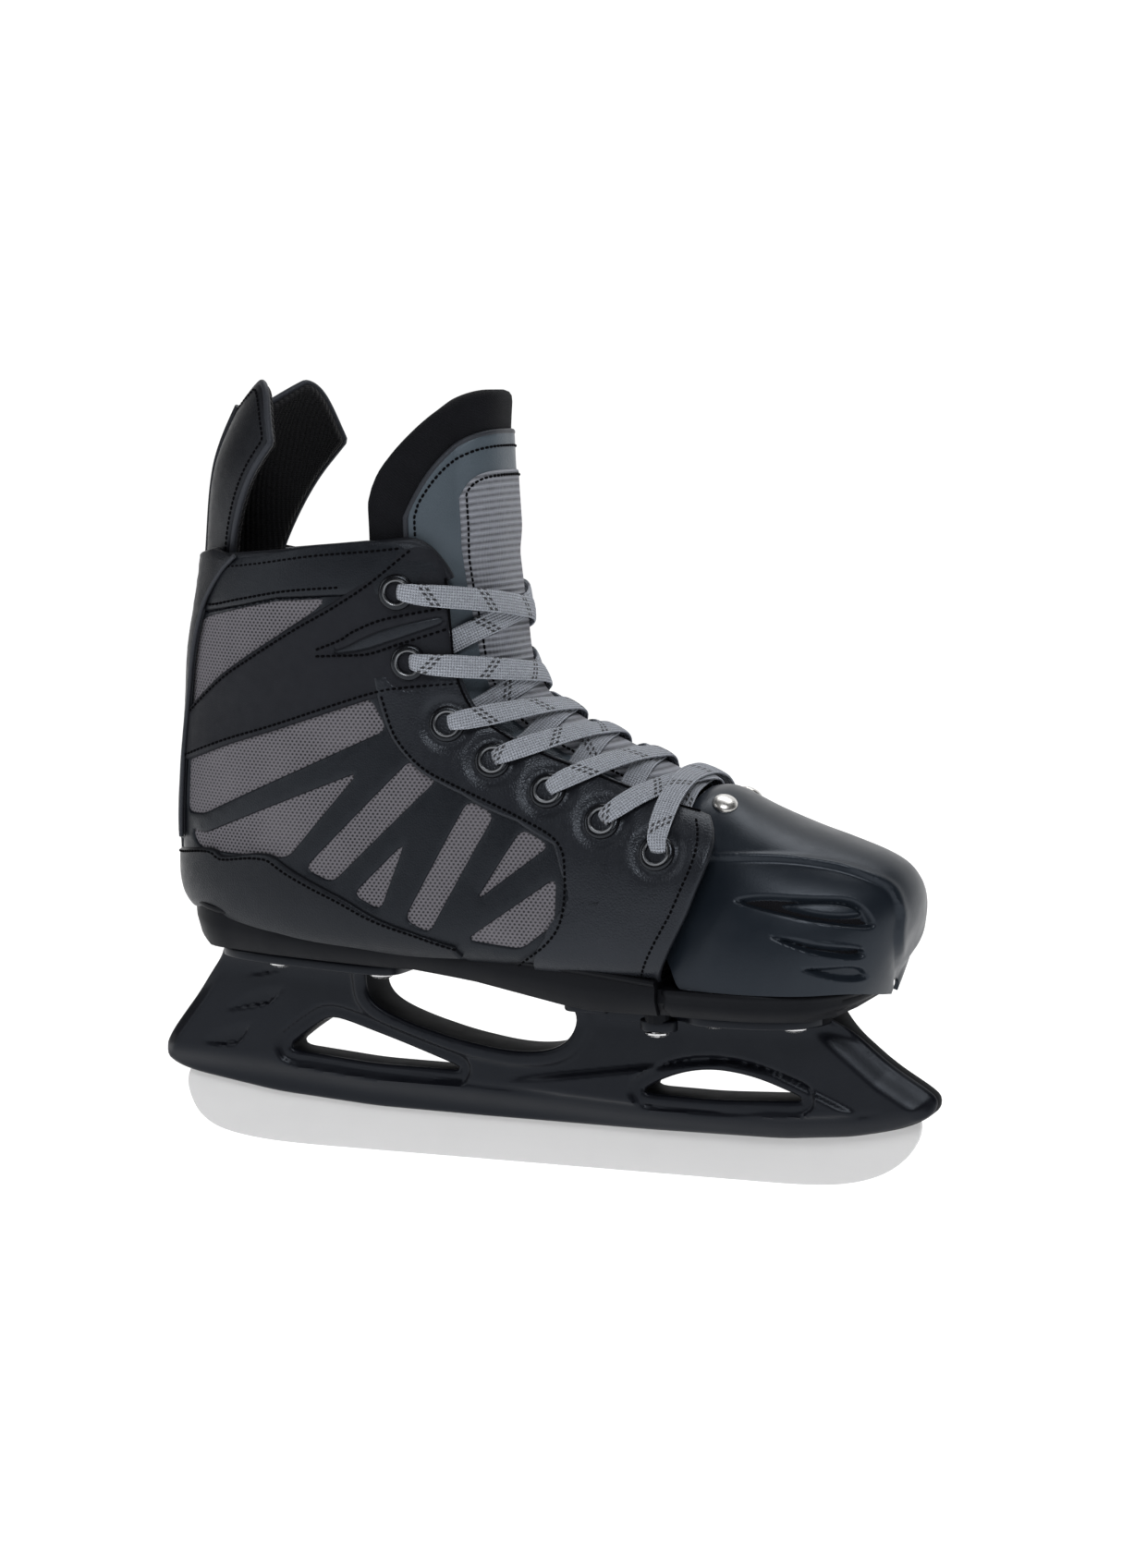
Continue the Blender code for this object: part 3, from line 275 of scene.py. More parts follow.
def lace_cloth():
    """Flat braid: fine lengthwise ribs with painted shade in the weave's hollows, and pairs of dark slanting rows of
    stitches.
    """
    paint = Paint("lace_cloth", (0.54, 0.58, 0.66), 0.8)
    node = paint.math
    across, along, _ = paint.mesh_place()
    rib = paint.wave(across, 0.00095)
    twist = paint.wave(node("ADD", along, node("MULTIPLY", rib, 0.0002)), 0.0009)
    weave = node("ADD", node("MULTIPLY", rib, 0.6), node("MULTIPLY", twist, 0.4))
    paint.bump(weave, 0.0004, 1)
    # Painted shade: the braid is much darker where its weave dips.
    paint.tint(paint.remap(weave, -1, 0.1, 0.8, 0), (0.085, 0.09, 0.11))
    paint.mottle(0.0007, 3, 0.35, 0.7, 0.45, (0.13, 0.14, 0.165))
    slant = node("ADD", along, node("MULTIPLY", across, 0.8))
    dash = node("LESS_THAN", node("FRACT", node("DIVIDE", across, 0.0016)), 0.55)
    turn = node("FRACT", node("DIVIDE", slant, 0.021))
    for start in (0.1, 0.2):
        near = node("LESS_THAN", node("ABSOLUTE", node("SUBTRACT", turn, start)), 0.03)
        paint.tint(node("MULTIPLY", node("MULTIPLY", near, dash), 0.95), (0.008, 0.009, 0.012))
    paint.set({"Sheen Weight": 0.15})
    return paint.mat


LEATHER = leather("quarter_leather", (0.006, 0.007, 0.0095), 0.38)
# The vamp leather is lighter than the quarter leather: partly its own tone, partly a painted highlight for the broad
# soft sheen on the vamp.
VAMP = leather("vamp_leather_and_sheen", (0.015, 0.0165, 0.0205), 0.3, 0.001)
SUEDE = leather("band_leather", (0.0065, 0.0065, 0.009), 0.6, 0.0006)
INLAY = leather("inlay_leather", (0.015, 0.017, 0.021), 0.34)
HEEL = leather("heel_leather", (0.0065, 0.007, 0.009), 0.36)
GUARD = leather("guard_leather", (0.005, 0.0053, 0.0072), 0.42)
TONGUE = leather("tongue_leather", (0.07, 0.089, 0.107), 0.36)
PIPING = leather("piping_leather", (0.028, 0.03, 0.036), 0.45, 0.0008)
BLACK_TRIM = leather("trim_leather", (0.009, 0.0095, 0.012), 0.4)
NET = net_fabric()
LINING = cloth("lining_cloth", (0.006, 0.006, 0.008), 0.0011, 0.9, 0.03, 0.15)
FOAM = cloth("foam_cloth", (0.006, 0.0065, 0.0085), 0.001, 0.9, 0.03, 0.15)
RIBS = ribbed("ribbed_lining", (0.008, 0.0082, 0.01), 0.0021, 0, 0.0004, 0.03)
WEBBING = ribbed("webbing_cloth", (0.3, 0.315, 0.36), 0.0022, 1, 0.0007, 0.2)
LACE = lace_cloth()
THREAD = cloth("thread_cloth", (0.002, 0.002, 0.003), 0.0004, 0.8, 0, 0.05)
HOLDER = plastic("holder_plastic", (0.0045, 0.005, 0.0075), 0.34, 0.0006, 0.24)
# A darker, duller copy of the holder plastic: painted shade on the holder's walls that turn away from the sides.
HOLDER_SHADED_WALLS = plastic("holder_shaded_walls", (0.004, 0.0045, 0.006), 0.65, 0.0006, 0.05)
SOLE = plastic("sole_plastic", (0.0045, 0.0045, 0.0056), 0.5, 0.0004, 0.15)
CAP_PAINT = plastic("cap_plastic", (0.0085, 0.012, 0.0175), 0.34, 0.0006, 0.36)
BUTTON = plastic("button_plastic", (0.02, 0.02, 0.024), 0.4)
# Black enamel of the eyelet rings; the same black closes each ring's hole as painted shade.
RING_BLACK = plastic("ring_enamel_and_hole_shade", (0.004, 0.004, 0.005), 0.22, 0.0003)
TIP = plastic("tip_plastic", (0.08, 0.08, 0.09), 0.2)
BLADE = steel("blade_steel", (0.7, 0.7, 0.705), 0.4, (0.02, 1, 1), 0.1, 0.25)
RIVET = steel("rivet_steel", (0.72, 0.72, 0.73), 0.25)
NICKEL = steel("eyelet_nickel", (0.17, 0.178, 0.19), 0.3)
STUD = steel("stud_steel", (0.66, 0.65, 0.63), 0.3, wear=0.15)


# ---- the boot's surfaces

def unit(vectors):
    return vectors / np.maximum(np.linalg.norm(vectors, axis=-1, keepdims=True), 1e-9)


def crossed(rows, columns):
    return np.meshgrid(rows, columns, indexing="ij")


def wrapped(a):
    """Angles round the boot brought back under half a turn."""
    return np.where(a > pi, a - 2 * pi, a)


def eased(table, place):
    """Smooth rows at places along a table (Catmull-Rom)."""
    place = np.clip(place, 0, len(table) - 1)
    i = np.minimum(place.astype(int), len(table) - 2)
    t = (place - i)[..., None]
    p0, p1, p2, p3 = (table[np.clip(i + k, 0, len(table) - 1)] for k in (-1, 0, 1, 2))
    return 0.5 * (2 * p1 + (p2 - p0) * t + (2 * p0 - 5 * p1 + 4 * p2 - p3) * t ** 2
                  + (3 * p1 - p0 - 3 * p2 + p3) * t ** 3)


def boot_surface(s, a):
    fx, fz, bx, bz, mx, mz, half, nf, nb = np.moveaxis(eased(BOOT, s), -1, 0)
    c, w = np.cos(a), np.sin(a)
    n = np.where(c > 0, nf, nb)
    ex, ez = np.where(c > 0, fx - mx, bx - mx), np.where(c > 0, fz - mz, bz - mz)
    reach = np.abs(c) ** (2 / n)
    return np.stack([mx + ex * reach, -half * np.sign(w) * np.abs(w) ** (2 / n), mz + ez * reach], -1)


def cap_surface(s, a):
    tx, tz, fx, fz, half = np.moveaxis(eased(CAP, s), -1, 0)
    c, w = np.cos(a), np.sin(a)
    rise = np.sign(c) * np.abs(c) ** (2 / CAP_ROUND)
    bulge = 1.6 * np.sin(2 * np.abs(a)) ** 2 * half / 38
    return np.stack([fx + (tx - fx) * rise, -np.sign(w) * (half * np.abs(w) ** (2 / CAP_ROUND) + bulge),
                     fz + (tz - fz) * rise], -1)


def raised(surface, s, a, offset, centre):
    """Surface points moved along their normals, away from the section's centre (x, z)."""
    s, a, offset = np.broadcast_arrays(*(np.asarray(v, float) for v in (s, a, offset)))
    point = surface(s, a)
    along = surface(s + 0.02, a) - surface(s - 0.02, a)
    around = surface(s, a + 0.03) - surface(s, a - 0.03)
    normal = unit(np.cross(along, around))
    middle = centre(s)
    middle = np.stack([middle[..., 0], 0 * middle[..., 0], middle[..., 1]], -1)
    flip = np.sign(np.sum(normal * (point - middle), -1, keepdims=True))
    return point + normal * flip * offset[..., None]


def boot(s, a, offset=0):
    return raised(boot_surface, s, a, offset, lambda s: eased(BOOT, s)[..., 4:6])


def cap(s, a, offset=0):
    return raised(cap_surface, s, a, offset, lambda s: eased(CAP, s)[..., 2:4] + (-25, 5))


def find_on_side(x, z):
    """The (s, angle) of a side-view point, by closing in on it."""
    s, a, span_s, span_a = 7, 1.57, 7, 1.3
    steps = np.linspace(-1, 1, 13)
    for _ in range(9):
        ss, aa = np.meshgrid(np.clip(s + span_s * steps, 0, TOE_END), np.clip(a + span_a * steps, 0.02, pi - 0.02))
        away = np.hypot(*np.moveaxis(boot_surface(ss, aa)[..., [0, 2]] - (x, z), -1, 0))
        k = np.unravel_index(np.argmin(away), away.shape)
        s, a, span_s, span_a = ss[k], aa[k], span_s * 0.4, span_a * 0.4
    return float(s), float(a)


def facing_angle(s, half_gap):
    """The angle on the boot's front at which the surface is that far from its middle plane."""
    half, nf = np.moveaxis(eased(BOOT, np.asarray(s, float))[..., 6:8], -1, 0)
    return np.arcsin(np.minimum(half_gap / half, 1) ** (nf / 2))


# ---- mesh helpers

def add_mesh(name, points, faces, mats, body, uvs=None, face_mats=None, sharp=50):
    """A smooth-shaded piece from points in millimetres, riding on a body. uvs holds one pair per point, in metres."""
    mesh = bpy.data.meshes.new(name)
    mesh.from_pydata([Vector(p) * MM for p in points], [], [tuple(int(i) for i in f) for f in faces])
    for mat in (mats if isinstance(mats, (list, tuple)) else [mats]):
        mesh.materials.append(mat)
    if face_mats is not None:
        mesh.polygons.foreach_set("material_index", np.asarray(face_mats, np.int32))
    if uvs is not None:
        layer = mesh.uv_layers.new(name="UVMap")
        corners = np.zeros(len(mesh.loops), np.int32)
        mesh.loops.foreach_get("vertex_index", corners)
        layer.data.foreach_set("uv", np.asarray(uvs, np.float32)[corners].ravel())
    bm = bmesh.new()
    bm.from_mesh(mesh)
    bmesh.ops.recalc_face_normals(bm, faces=bm.faces)
    bm.to_mesh(mesh)
    bm.free()
    mesh.shade_smooth()
    mesh.set_sharp_from_angle(angle=math.radians(sharp))
    obj = bpy.data.objects.new(name, mesh)
    scene.collection.objects.link(obj)
    if body:
        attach(obj, body)
    return obj


def lengths(points):
    """Running lengths along the last but one axis of an array of points."""
    steps = np.linalg.norm(np.diff(points, axis=-2), axis=-1)
    return np.concatenate([np.zeros(steps.shape[:-1] + (1,)), np.cumsum(steps, -1)], -1)


def grid_uv(points):
    """Mesh coordinates in metres over a grid: across from its middle column and along from its first row."""
    across = lengths(points)
    across = across - across[:, across.shape[1] // 2][:, None]
    along = lengths(points.swapaxes(0, 1)).swapaxes(0, 1)
    return np.stack([across, along], -1).reshape(-1, 2) * MM


def grid_faces(rows, columns, base=0, turn=False, closed=False):
    i, j = crossed(np.arange(rows - 1), np.arange(columns if closed else columns - 1))
    k = (j + 1) % columns
    quads = np.stack([i * columns + j, i * columns + k, (i + 1) * columns + k, (i + 1) * columns + j], -1) + base
    quads = quads.reshape(-1, 4)
    return quads[:, ::-1] if turn else quads


def thick(name, outer, inner, mats, body, uv=None, **kind):
    """A closed shell between two grids of points. The second material, if any, is for its inner face and rim."""
    rows, columns = outer.shape[:2]
    count = rows * columns
    faces = [grid_faces(rows, columns), grid_faces(rows, columns, count, True)]
    rim = [(0, j) for j in range(columns)] + [(i, columns - 1) for i in range(1, rows)]
    rim += [(rows - 1, j) for j in range(columns - 2, -1, -1)] + [(i, 0) for i in range(rows - 2, 0, -1)]
    rim = np.array([i * columns + j for i, j in rim])
    ahead = np.roll(rim, -1)
    faces.append(np.stack([rim, rim + count, ahead + count, ahead], -1))
    points = np.concatenate([outer.reshape(-1, 3), inner.reshape(-1, 3)])
    uvs = uv(points) if uv else np.concatenate([grid_uv(outer), grid_uv(inner)])
    which = np.repeat([0, 1, 1], [len(f) for f in faces]) if isinstance(mats, (list, tuple)) else None
    return add_mesh(name, points, np.concatenate(faces), mats, body, uvs, which, **kind)


def spread(count, edge=0.02, ends=(True, True)):
    """Places from 0 to 1 that crowd towards the ends, for a rounded rim."""
    fine = np.array([0, 0.12, 0.35, 0.7]) * edge
    middle = np.linspace(edge, 1 - edge, count)
    first = fine if ends[0] else np.array([0])
    last = 1 - fine[::-1] if ends[1] else np.array([1])
    return np.unique(np.concatenate([first, middle, last]).round(6))


def rounding(gap, radius):
    """How far a face drops at a distance from its edge, for a rounded edge."""
    near = np.clip(gap / radius, 0, 1)
    return radius * (1 - np.sqrt(np.clip(1 - (1 - near) ** 2, 0, 1)))


def rim_drop(points, radius, sides=(True, True, True, True)):
    """How far a grid's face drops near its rim. sides are the first row, last row, first and last column."""
    along = lengths(points.swapaxes(0, 1)).swapaxes(0, 1)
    across = lengths(points)
    gaps = [along, along[-1:] - along, across, across[:, -1:] - across]
    away = np.full(points.shape[:2], 1e9)
    for use, gap in zip(sides, gaps):
        if use:
            away = np.minimum(away, gap)
    return rounding(away, radius)


def capped(rings):
    """Points and faces of a body through closed rings of points, with flat ends."""
    rings = np.asarray(rings, float)
    rows, count = rings.shape[:2]
    ends = [tuple(range(count))[::-1], tuple(range((rows - 1) * count, rows * count))]
    return rings.reshape(-1, 3), grid_faces(rows, count, closed=True).tolist() + ends


def turned(name, profile, centre, axis, mats, body, steps=36, bands=None):
    """A body turned from an open profile of (radius, height). bands holds the material index of each band."""
    axis = unit(np.array(axis, float))
    side = unit(np.cross((0, 0, 1) if abs(axis[2]) < 0.9 else (1, 0, 0), axis))
    turn = np.linspace(0, 2 * pi, steps, endpoint=False)
    ray = np.cos(turn)[:, None] * side + np.sin(turn)[:, None] * np.cross(axis, side)
    profile = np.array(profile, float)
    points, faces = capped(centre + profile[:, 1, None, None] * axis + profile[:, 0, None, None] * ray)
    which = [bands[min(i // steps, len(bands) - 1)] for i in range(len(faces))] if bands else None
    return add_mesh(name, points, faces, mats, body, None, which)


def smooth_line(points, step):
    """A smooth line through points, with a point about every step."""
    table = np.array(points, float)
    return even(eased(table, np.linspace(0, len(table) - 1, 24 * len(table))), step)


def even(line, step):
    """The same line with evenly spaced points."""
    run = lengths(line)
    count = max(int(round(run[-1] / step)), 1)
    at = np.linspace(0, run[-1], count + 1)
    return np.stack([np.interp(at, run, line[:, k]) for k in range(line.shape[1])], -1)


def sharp_loop(points, step):
    """A closed outline with straight runs between its corners, as evenly spaced points without a repeat."""
    pairs = zip(points, points[1:] + points[:1])
    return np.concatenate([even(np.array(pair, float), step)[:-1] for pair in pairs])


def soft_corners(points, step, limit=6):
    """A closed outline with its corners cut round by no more than a limit, as evenly spaced points."""
    loop = np.array(points, float)
    for _ in range(3):
        run = np.roll(loop, -1, 0) - loop
        size = np.linalg.norm(run, axis=1)[:, None]
        cut = run / np.maximum(size, 1e-9) * np.minimum(size * 0.25, limit)
        loop = np.stack([loop + cut, loop + run - cut], 1).reshape(-1, 2)
        limit /= 2
    return even(np.concatenate([loop, loop[:1]]), step)[:-1]


def outward(loop):
    """Unit vectors square to a closed outline, at its points."""
    run = np.roll(loop, -1, 0) - np.roll(loop, 1, 0)
    return unit(np.stack([run[:, 1], -run[:, 0]], -1))


def inside(points, loop):
    """Which points lie inside a closed outline."""
    x, z = points[:, 0][:, None], points[:, 1][:, None]
    x0, z0 = loop[:, 0], loop[:, 1]
    x1, z1 = np.roll(loop[:, 0], -1), np.roll(loop[:, 1], -1)
    cross = (z0 > z) != (z1 > z)
    at = (x1 - x0) * (z - z0) / np.where(z1 == z0, 1e-12, z1 - z0) + x0
    return np.sum(cross & (x < at), 1) % 2 == 1


def distance_to(points, line, closed=True):
    """Distances from points to an outline."""
    best = np.full(len(points), 1e9)
    for start, end in zip(line if closed else line[:-1], np.roll(line, -1, 0) if closed else line[1:]):
        run = end - start
        t = np.clip((points - start) @ run / max(run @ run, 1e-12), 0, 1)
        best = np.minimum(best, np.linalg.norm(points - start - t[:, None] * run, axis=1))
    return best


def flat_mesh(loops, step, rings):
    """A triangulated region. The first loop bounds it and the rest are holes. rings are the distances from the
    edges at which it gets rows of points. Returns (points, triangles, distance to the nearest edge)."""
    points, edges = [], []
    for loop in loops:
        base = len(points)
        points += list(loop)
        edges += [(base + i, base + (i + 1) % len(loop)) for i in range(len(loop))]

    def within(candidates):
        keep = inside(candidates, loops[0])
        for hole in loops[1:]:
            keep &= ~inside(candidates, hole)
        return keep

    def gap(candidates):
        return np.min([distance_to(candidates, loop) for loop in loops], 0)

    for ring in rings:
        for loop in loops:
            for away in (ring, -ring):
                moved = loop + outward(loop) * away
                moved = moved[within(moved)]
                if len(moved):
                    points += list(moved[gap(moved) > ring * 0.9])
    low, high = loops[0].min(0), loops[0].max(0)
    columns = np.arange(low[0], high[0], step)
    rows = np.arange(low[1], high[1], step * 0.866)
    field = np.array([(x + (step / 2 if k % 2 else 0), z) for k, z in enumerate(rows) for x in columns])
    field = field[within(field)]
    field = field[gap(field) > max(rings[-1] + step * 0.35, step * 0.5)]
    points += list(field)
    made, _, faces, *_ = delaunay_2d_cdt([Vector(p) for p in points], edges, [], 0, 1e-5)
    made = np.array([tuple(p) for p in made])
    faces = np.array([f for f in faces if len(f) == 3])
    faces = faces[within(made[faces].mean(1))]
    used = np.unique(faces)
    index = np.zeros(len(made), int)
    index[used] = np.arange(len(used))
    made = made[used]
    return made, index[faces], gap(made)


# ---- projecting on the boot's side

def grid_tree(points):
    return BVHTree.FromPolygons([Vector(p) for p in points.reshape(-1, 3)], grid_faces(*points.shape[:2]).tolist())


SIDE = grid_tree(boot_surface(*crossed(np.linspace(1.75, TOE_END, 150), np.linspace(0.25, pi, 120))))
FAR_OUT = -100  # an y outside the boot, where rays start


def onto_boot(points, lift, side=1):
    """Side-view (x, z) points on the boot, with their heights over it. Returns places and normals."""
    places, normals = [], []
    for (x, z), height in zip(points, np.broadcast_to(lift, len(points))):
        spot, normal, _, _ = SIDE.ray_cast(Vector((x, FAR_OUT, z)), Vector((0, 1, 0)))
        if spot is None:
            spot, normal, _, _ = SIDE.find_nearest(Vector((x, -8, z)))
        if normal.y > 0:
            normal = -normal
        spot = spot + normal * height
        places.append((spot.x, spot.y * side, spot.z))
        normals.append((normal.x, normal.y * side, normal.z))
    return np.array(places), np.array(normals)


def mirror(points, side):
    return points * (1, side, 1)


def panel(name, loops, lift, mat, low=0, edge=0.9, step=3, extra=lambda flat: 0):
    """A sheet of leather on both sides of the boot, with rounded edges. Returns the two pieces."""
    flat, faces, gap = flat_mesh(loops, step, (edge * 0.3, edge))
    height = low + (lift - low) * (1 - rounding(gap, edge) / edge) + extra(flat) * np.clip(gap / 2.5, 0, 1)
    places, _ = onto_boot(flat, height)
    return [add_mesh(f"{name}_{word}", mirror(places, side), faces, mat, "skate", flat * MM) for word, side in SIDES]


STITCH_LONG, STITCH_THICK, STITCH_PITCH = 1.45, 0.42, 2.0
# Places along a stitch, as shares of its length, and the share of its thickness there.
STITCH_SHAPE = (-0.5, 0.35), (-0.32, 1), (0.32, 1), (0.5, 0.35)


def stitch_mesh(places, normals):
    """Small rounded threads along a line of places. Returns points and faces."""
    ahead = unit(np.gradient(places, axis=0))
    across = unit(np.cross(normals, ahead))
    turns = np.arange(6) * pi / 3
    points, faces = [], []
    for spot, t, w, n in zip(places, ahead, across, normals):
        ring = STITCH_THICK * (np.outer(np.cos(turns), w) + np.outer(np.sin(turns), n))
        more_points, more_faces = capped([spot + t * along * STITCH_LONG + ring * size for along, size in STITCH_SHAPE])
        faces += [tuple(i + len(points) for i in f) for f in more_faces]
        points += list(more_points)
    return points, faces


def thread(name, rows, body="skate", axes=(0, 2)):
    """One piece from rows of stitches. A row is its places and normals."""
    points, faces = merged([stitch_mesh(*row) for row in rows])
    return add_mesh(name, points, faces, THREAD, body, np.array(points)[:, axes] * MM)


def stitches(name, lines, lift):
    """Rows of stitches along side-view lines, on both sides of the boot."""
    for word, side in SIDES:
        thread(f"{name}_{word}", [onto_boot(smooth_line(line, STITCH_PITCH), lift, side) for line in lines])


def tube(name, line, radius, mat, body, normals, steps=10):
    """A round tube along a line."""
    ahead = unit(np.gradient(line, axis=0))
    wide = unit(np.cross(normals, ahead))
    turn = np.linspace(0, 2 * pi, steps, endpoint=False)
    ray = np.cos(turn)[:, None] * wide[:, None] + np.sin(turn)[:, None] * np.cross(ahead, wide)[:, None]
    points, faces = capped(line[:, None] + radius * ray)
    uvs = np.stack([np.tile(turn, len(line)), np.repeat(lengths(line), steps)], -1) * MM
    return add_mesh(name, points, faces, mat, body, uvs)


def merged(parts):
    """One list of points and one of faces from several bodies."""
    points, faces = [], []
    for more_points, more_faces in parts:
        faces += [tuple(int(i) + len(points) for i in face) for face in more_faces]
        points += [tuple(p) for p in more_points]
    return points, faces


def plate(loop, low, high, edge=0.8):
    """A plate with rounded edges over a plan outline. low and high are heights or functions of x."""
    loop = np.array(loop, float)
    out = outward(loop)
    ahead = np.roll(loop, -1, 0)
    if np.sum(loop[:, 0] * ahead[:, 1] - ahead[:, 0] * loop[:, 1]) < 0:
        out = -out
    rings = []
    for height, way in ((low, 1), (high, -1)):
        for turn in np.linspace(0, pi / 2, 4)[::way]:
            flat = loop - out * edge * (1 - math.sin(turn))
            level = height(flat[:, 0]) if callable(height) else np.full(len(flat), height)
            rings.append(np.column_stack([flat, level + way * edge * (1 - math.cos(turn))]))
    return capped(rings)


def both_sides(half):
    return [(x, -w) for x, w in half] + [(x, w) for x, w in reversed(half) if w]


def both_faces(flat, faces, half):
    """A closed body from a flat region in side view, with its half thickness at every point."""
    count = len(flat)
    points = np.concatenate([np.column_stack([flat[:, 0], way * half, flat[:, 1]]) for way in (-1, 1)])
    edges = np.concatenate([faces[:, [0, 1]], faces[:, [1, 2]], faces[:, [2, 0]]])
    keys = np.sort(edges, 1)
    _, first, times = np.unique(keys, axis=0, return_index=True, return_counts=True)
    rim = edges[first[times == 1]]
    walls = np.column_stack([rim[:, 0], rim[:, 1], rim[:, 1] + count, rim[:, 0] + count])
    return points, [tuple(f) for part in (faces, faces[:, ::-1] + count, walls) for f in part]


def level_at(table, x):
    table = np.array(table, float)
    return np.interp(x, table[:, 0], table[:, 1])


def ease(value):
    value = np.clip(value, 0, 1)
    return value * value * (3 - 2 * value)


# ---- blade and holder

HOLDER_LINE = [
    (-140.4, 33), (-139.6, 28.6), (-136.5, 25.6), (-130, 23.6), (-98, 18.6), (-60, 16), (-20, 15.5),
    (40, 15.2), (88, 15.8), (112, 18.2), (128, 22), (136, 25.6), (139.3, 28.2), (140.4, 31.4),
    (139.2, 34.3), (124.5, 43), (106, 58), (103.5, 60), (41.4, 60), (41.4, 54.8), (30.6, 54.8),
    (30.6, 60), (14, 60), (16.6, 55), (16.2, 49.6), (13, 44.6), (7, 41.4), (-2, 40.2), (-12, 40.6),
    (-28, 43.2), (-44, 47.4), (-55, 51.6), (-60, 56), (-61, 62), (-59, 69.2), (-113, 71.6),
    (-116, 67), (-129, 50), (-137.6, 38.6)]
REAR_WINDOW = [(-93, 34.6), (-86.2, 40.3), (-80.5, 44.3), (-76.7, 46.6), (-72.1, 46.6), (-48, 39.4),
               (-24, 31.4), (-60, 31.8)]
FRONT_WINDOW = [(38.5, 28.6), (44, 32.6), (52.3, 36.2), (60.5, 38), (69, 38.2), (80.4, 36.4), (98.6, 29.9),
                (64, 28.2)]
ARCH = HOLDER_LINE[22:34]
KEEL = [(-136, 34.5), (-100.1, 32.5), (-60, 29.1), (8.3, 25.9), (48, 23.7), (89.4, 23.3), (112.5, 25.7),
        (136, 30.5)]
BAND_TOP = [(-12, 29), (-5.1, 31.3), (37.5, 38.1), (68.8, 42.4), (85.1, 40.1), (111.5, 29), (118, 26)]
DECK, FLANGE_THICK = 60.0, 3.4
# A fin's soft edge, and the crisp edge that closes its outline.
FINS = (([(-109.5, 59.5), (-105, 63), (-100, 65), (-86, 65.5)], [(-91.5, 63), (-100, 61)]),
        ([(-117, 46.5), (-113.5, 50), (-108, 54), (-100, 57), (-90.5, 58)],
         [(-94.5, 54), (-98.5, 50.5)]),
        ([(-125.5, 35.5), (-121.5, 38.5), (-116.5, 41.5), (-110.5, 43.5), (-104, 44.5)],
         [(-107, 39.5), (-110.5, 35.5), (-118, 34.5)]))
REAR_FLANGE = [(-114, 14), (-108, 20.5), (-98, 24), (-60, 25.5), (-48, 24), (-44.5, 19),
               (-44, 10)]
FRONT_FLANGE = [(41.4, 20), (58, 22), (63, 28.5), (70, 30.5), (84, 30), (95, 27), (102, 21),
                (106, 12)]


def rear_deck(x):
    """The height of the holder's sloping rear deck."""
    return 69.0 + 0.045 * (-50.0 - x)


def holder_half(flat, loops):
    """Half the holder's thickness over its side view, with the sculpted ridges."""
    x, z = flat[:, 0], flat[:, 1]
    half = np.full(len(flat), 9.0)
    keel = level_at(KEEL, x)
    half -= 4.8 * ease((keel - z) / 10)
    band = level_at(BAND_TOP, x)
    half += 2.0 * ease((band - z) / 2.2) * ease((z - keel + 2) / 4) * ease((x + 12) / 25) * ease((120 - x) / 14)
    half -= 0.7 * np.exp(-((z - keel) / 0.9) ** 2) * ease((x + 100) / 20) * ease((125 - x) / 10)
    for loop in loops[1:]:
        half -= 2.0 * (1 - ease((distance_to(flat, loop) - 4) / 1.6))
    half += 1.7 * (1 - ease((distance_to(flat, smooth_line(ARCH, 1.5), False) - 3.6) / 2.4))
    for soft, crisp in FINS:
        held = inside(flat, np.array(soft + crisp))
        foot = np.array([soft[0]] + crisp[::-1] + [soft[-1]])
        half -= (held * 1.5 * ease(distance_to(flat, np.array(soft), False) / 6)
                 * ease(distance_to(flat, foot, False) / 0.7))
    for edge, wide, deep in ((HOLDER_LINE[13:17], 9, 4.8), (HOLDER_LINE[-3:] + HOLDER_LINE[:1], 5, 3)):
        away = distance_to(flat, np.array(edge), False)
        half -= deep * (1 - ease(away / wide)) * ease((64.0 - z) / 14)
    half += 5.5 * np.clip((z - 49) / 11, 0, 1) ** 3 * (x > 0)
    half += 7.0 * np.clip((z - rear_deck(x) + 13) / 13, 0, 1) ** 3 * (x < -50)
    return half


def make_holder():
    loops = [soft_corners(HOLDER_LINE, 1.4, 3)] + [soft_corners(w, 1.2, 3.5) for w in (REAR_WINDOW, FRONT_WINDOW)]
    flat, faces, gap = flat_mesh(loops, 0.9, (0.35, 0.9, 1.5))
    pad = [(14, -16), (17, -19), (30.6, -19.6), (30.6, 19.6), (17, 19), (14, 16)]
    bridge = [(29, -15), (43, -15), (43, -12), (29, -12)]
    ears = [[(43, 20 * side), (45.5, 28 * side), (55.5, 28 * side), (58, 20 * side)] for side in (-1, 1)]
    parts = [both_faces(flat, faces, holder_half(flat, loops) - rounding(gap, 1.5)),
             plate(soft_corners(both_sides(REAR_FLANGE), 2), lambda x: rear_deck(x) - FLANGE_THICK, rear_deck),
             plate(soft_corners(both_sides(FRONT_FLANGE), 2), DECK - FLANGE_THICK, DECK),
             plate(soft_corners(pad, 2, 1.5), DECK - FLANGE_THICK, DECK),
             plate(sharp_loop(bridge, 2), 54, DECK, 0.3)]
    parts += [plate(soft_corners(ear, 1.2), 53.2, 57.2) for ear in ears]
    holder = add_mesh("holder", *merged(parts), [HOLDER, HOLDER_SHADED_WALLS], "skate", sharp=55)
    # Faces that turn away from the sides, from 20 to 64 mm up, take the darker, duller copy: painted shade on the
    # window walls and ledges.
    for face in holder.data.polygons:
        face.material_index = int(abs(face.normal.y) < 0.3 and 0.02 < face.center.z < 0.064)
    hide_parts("blade_holder")


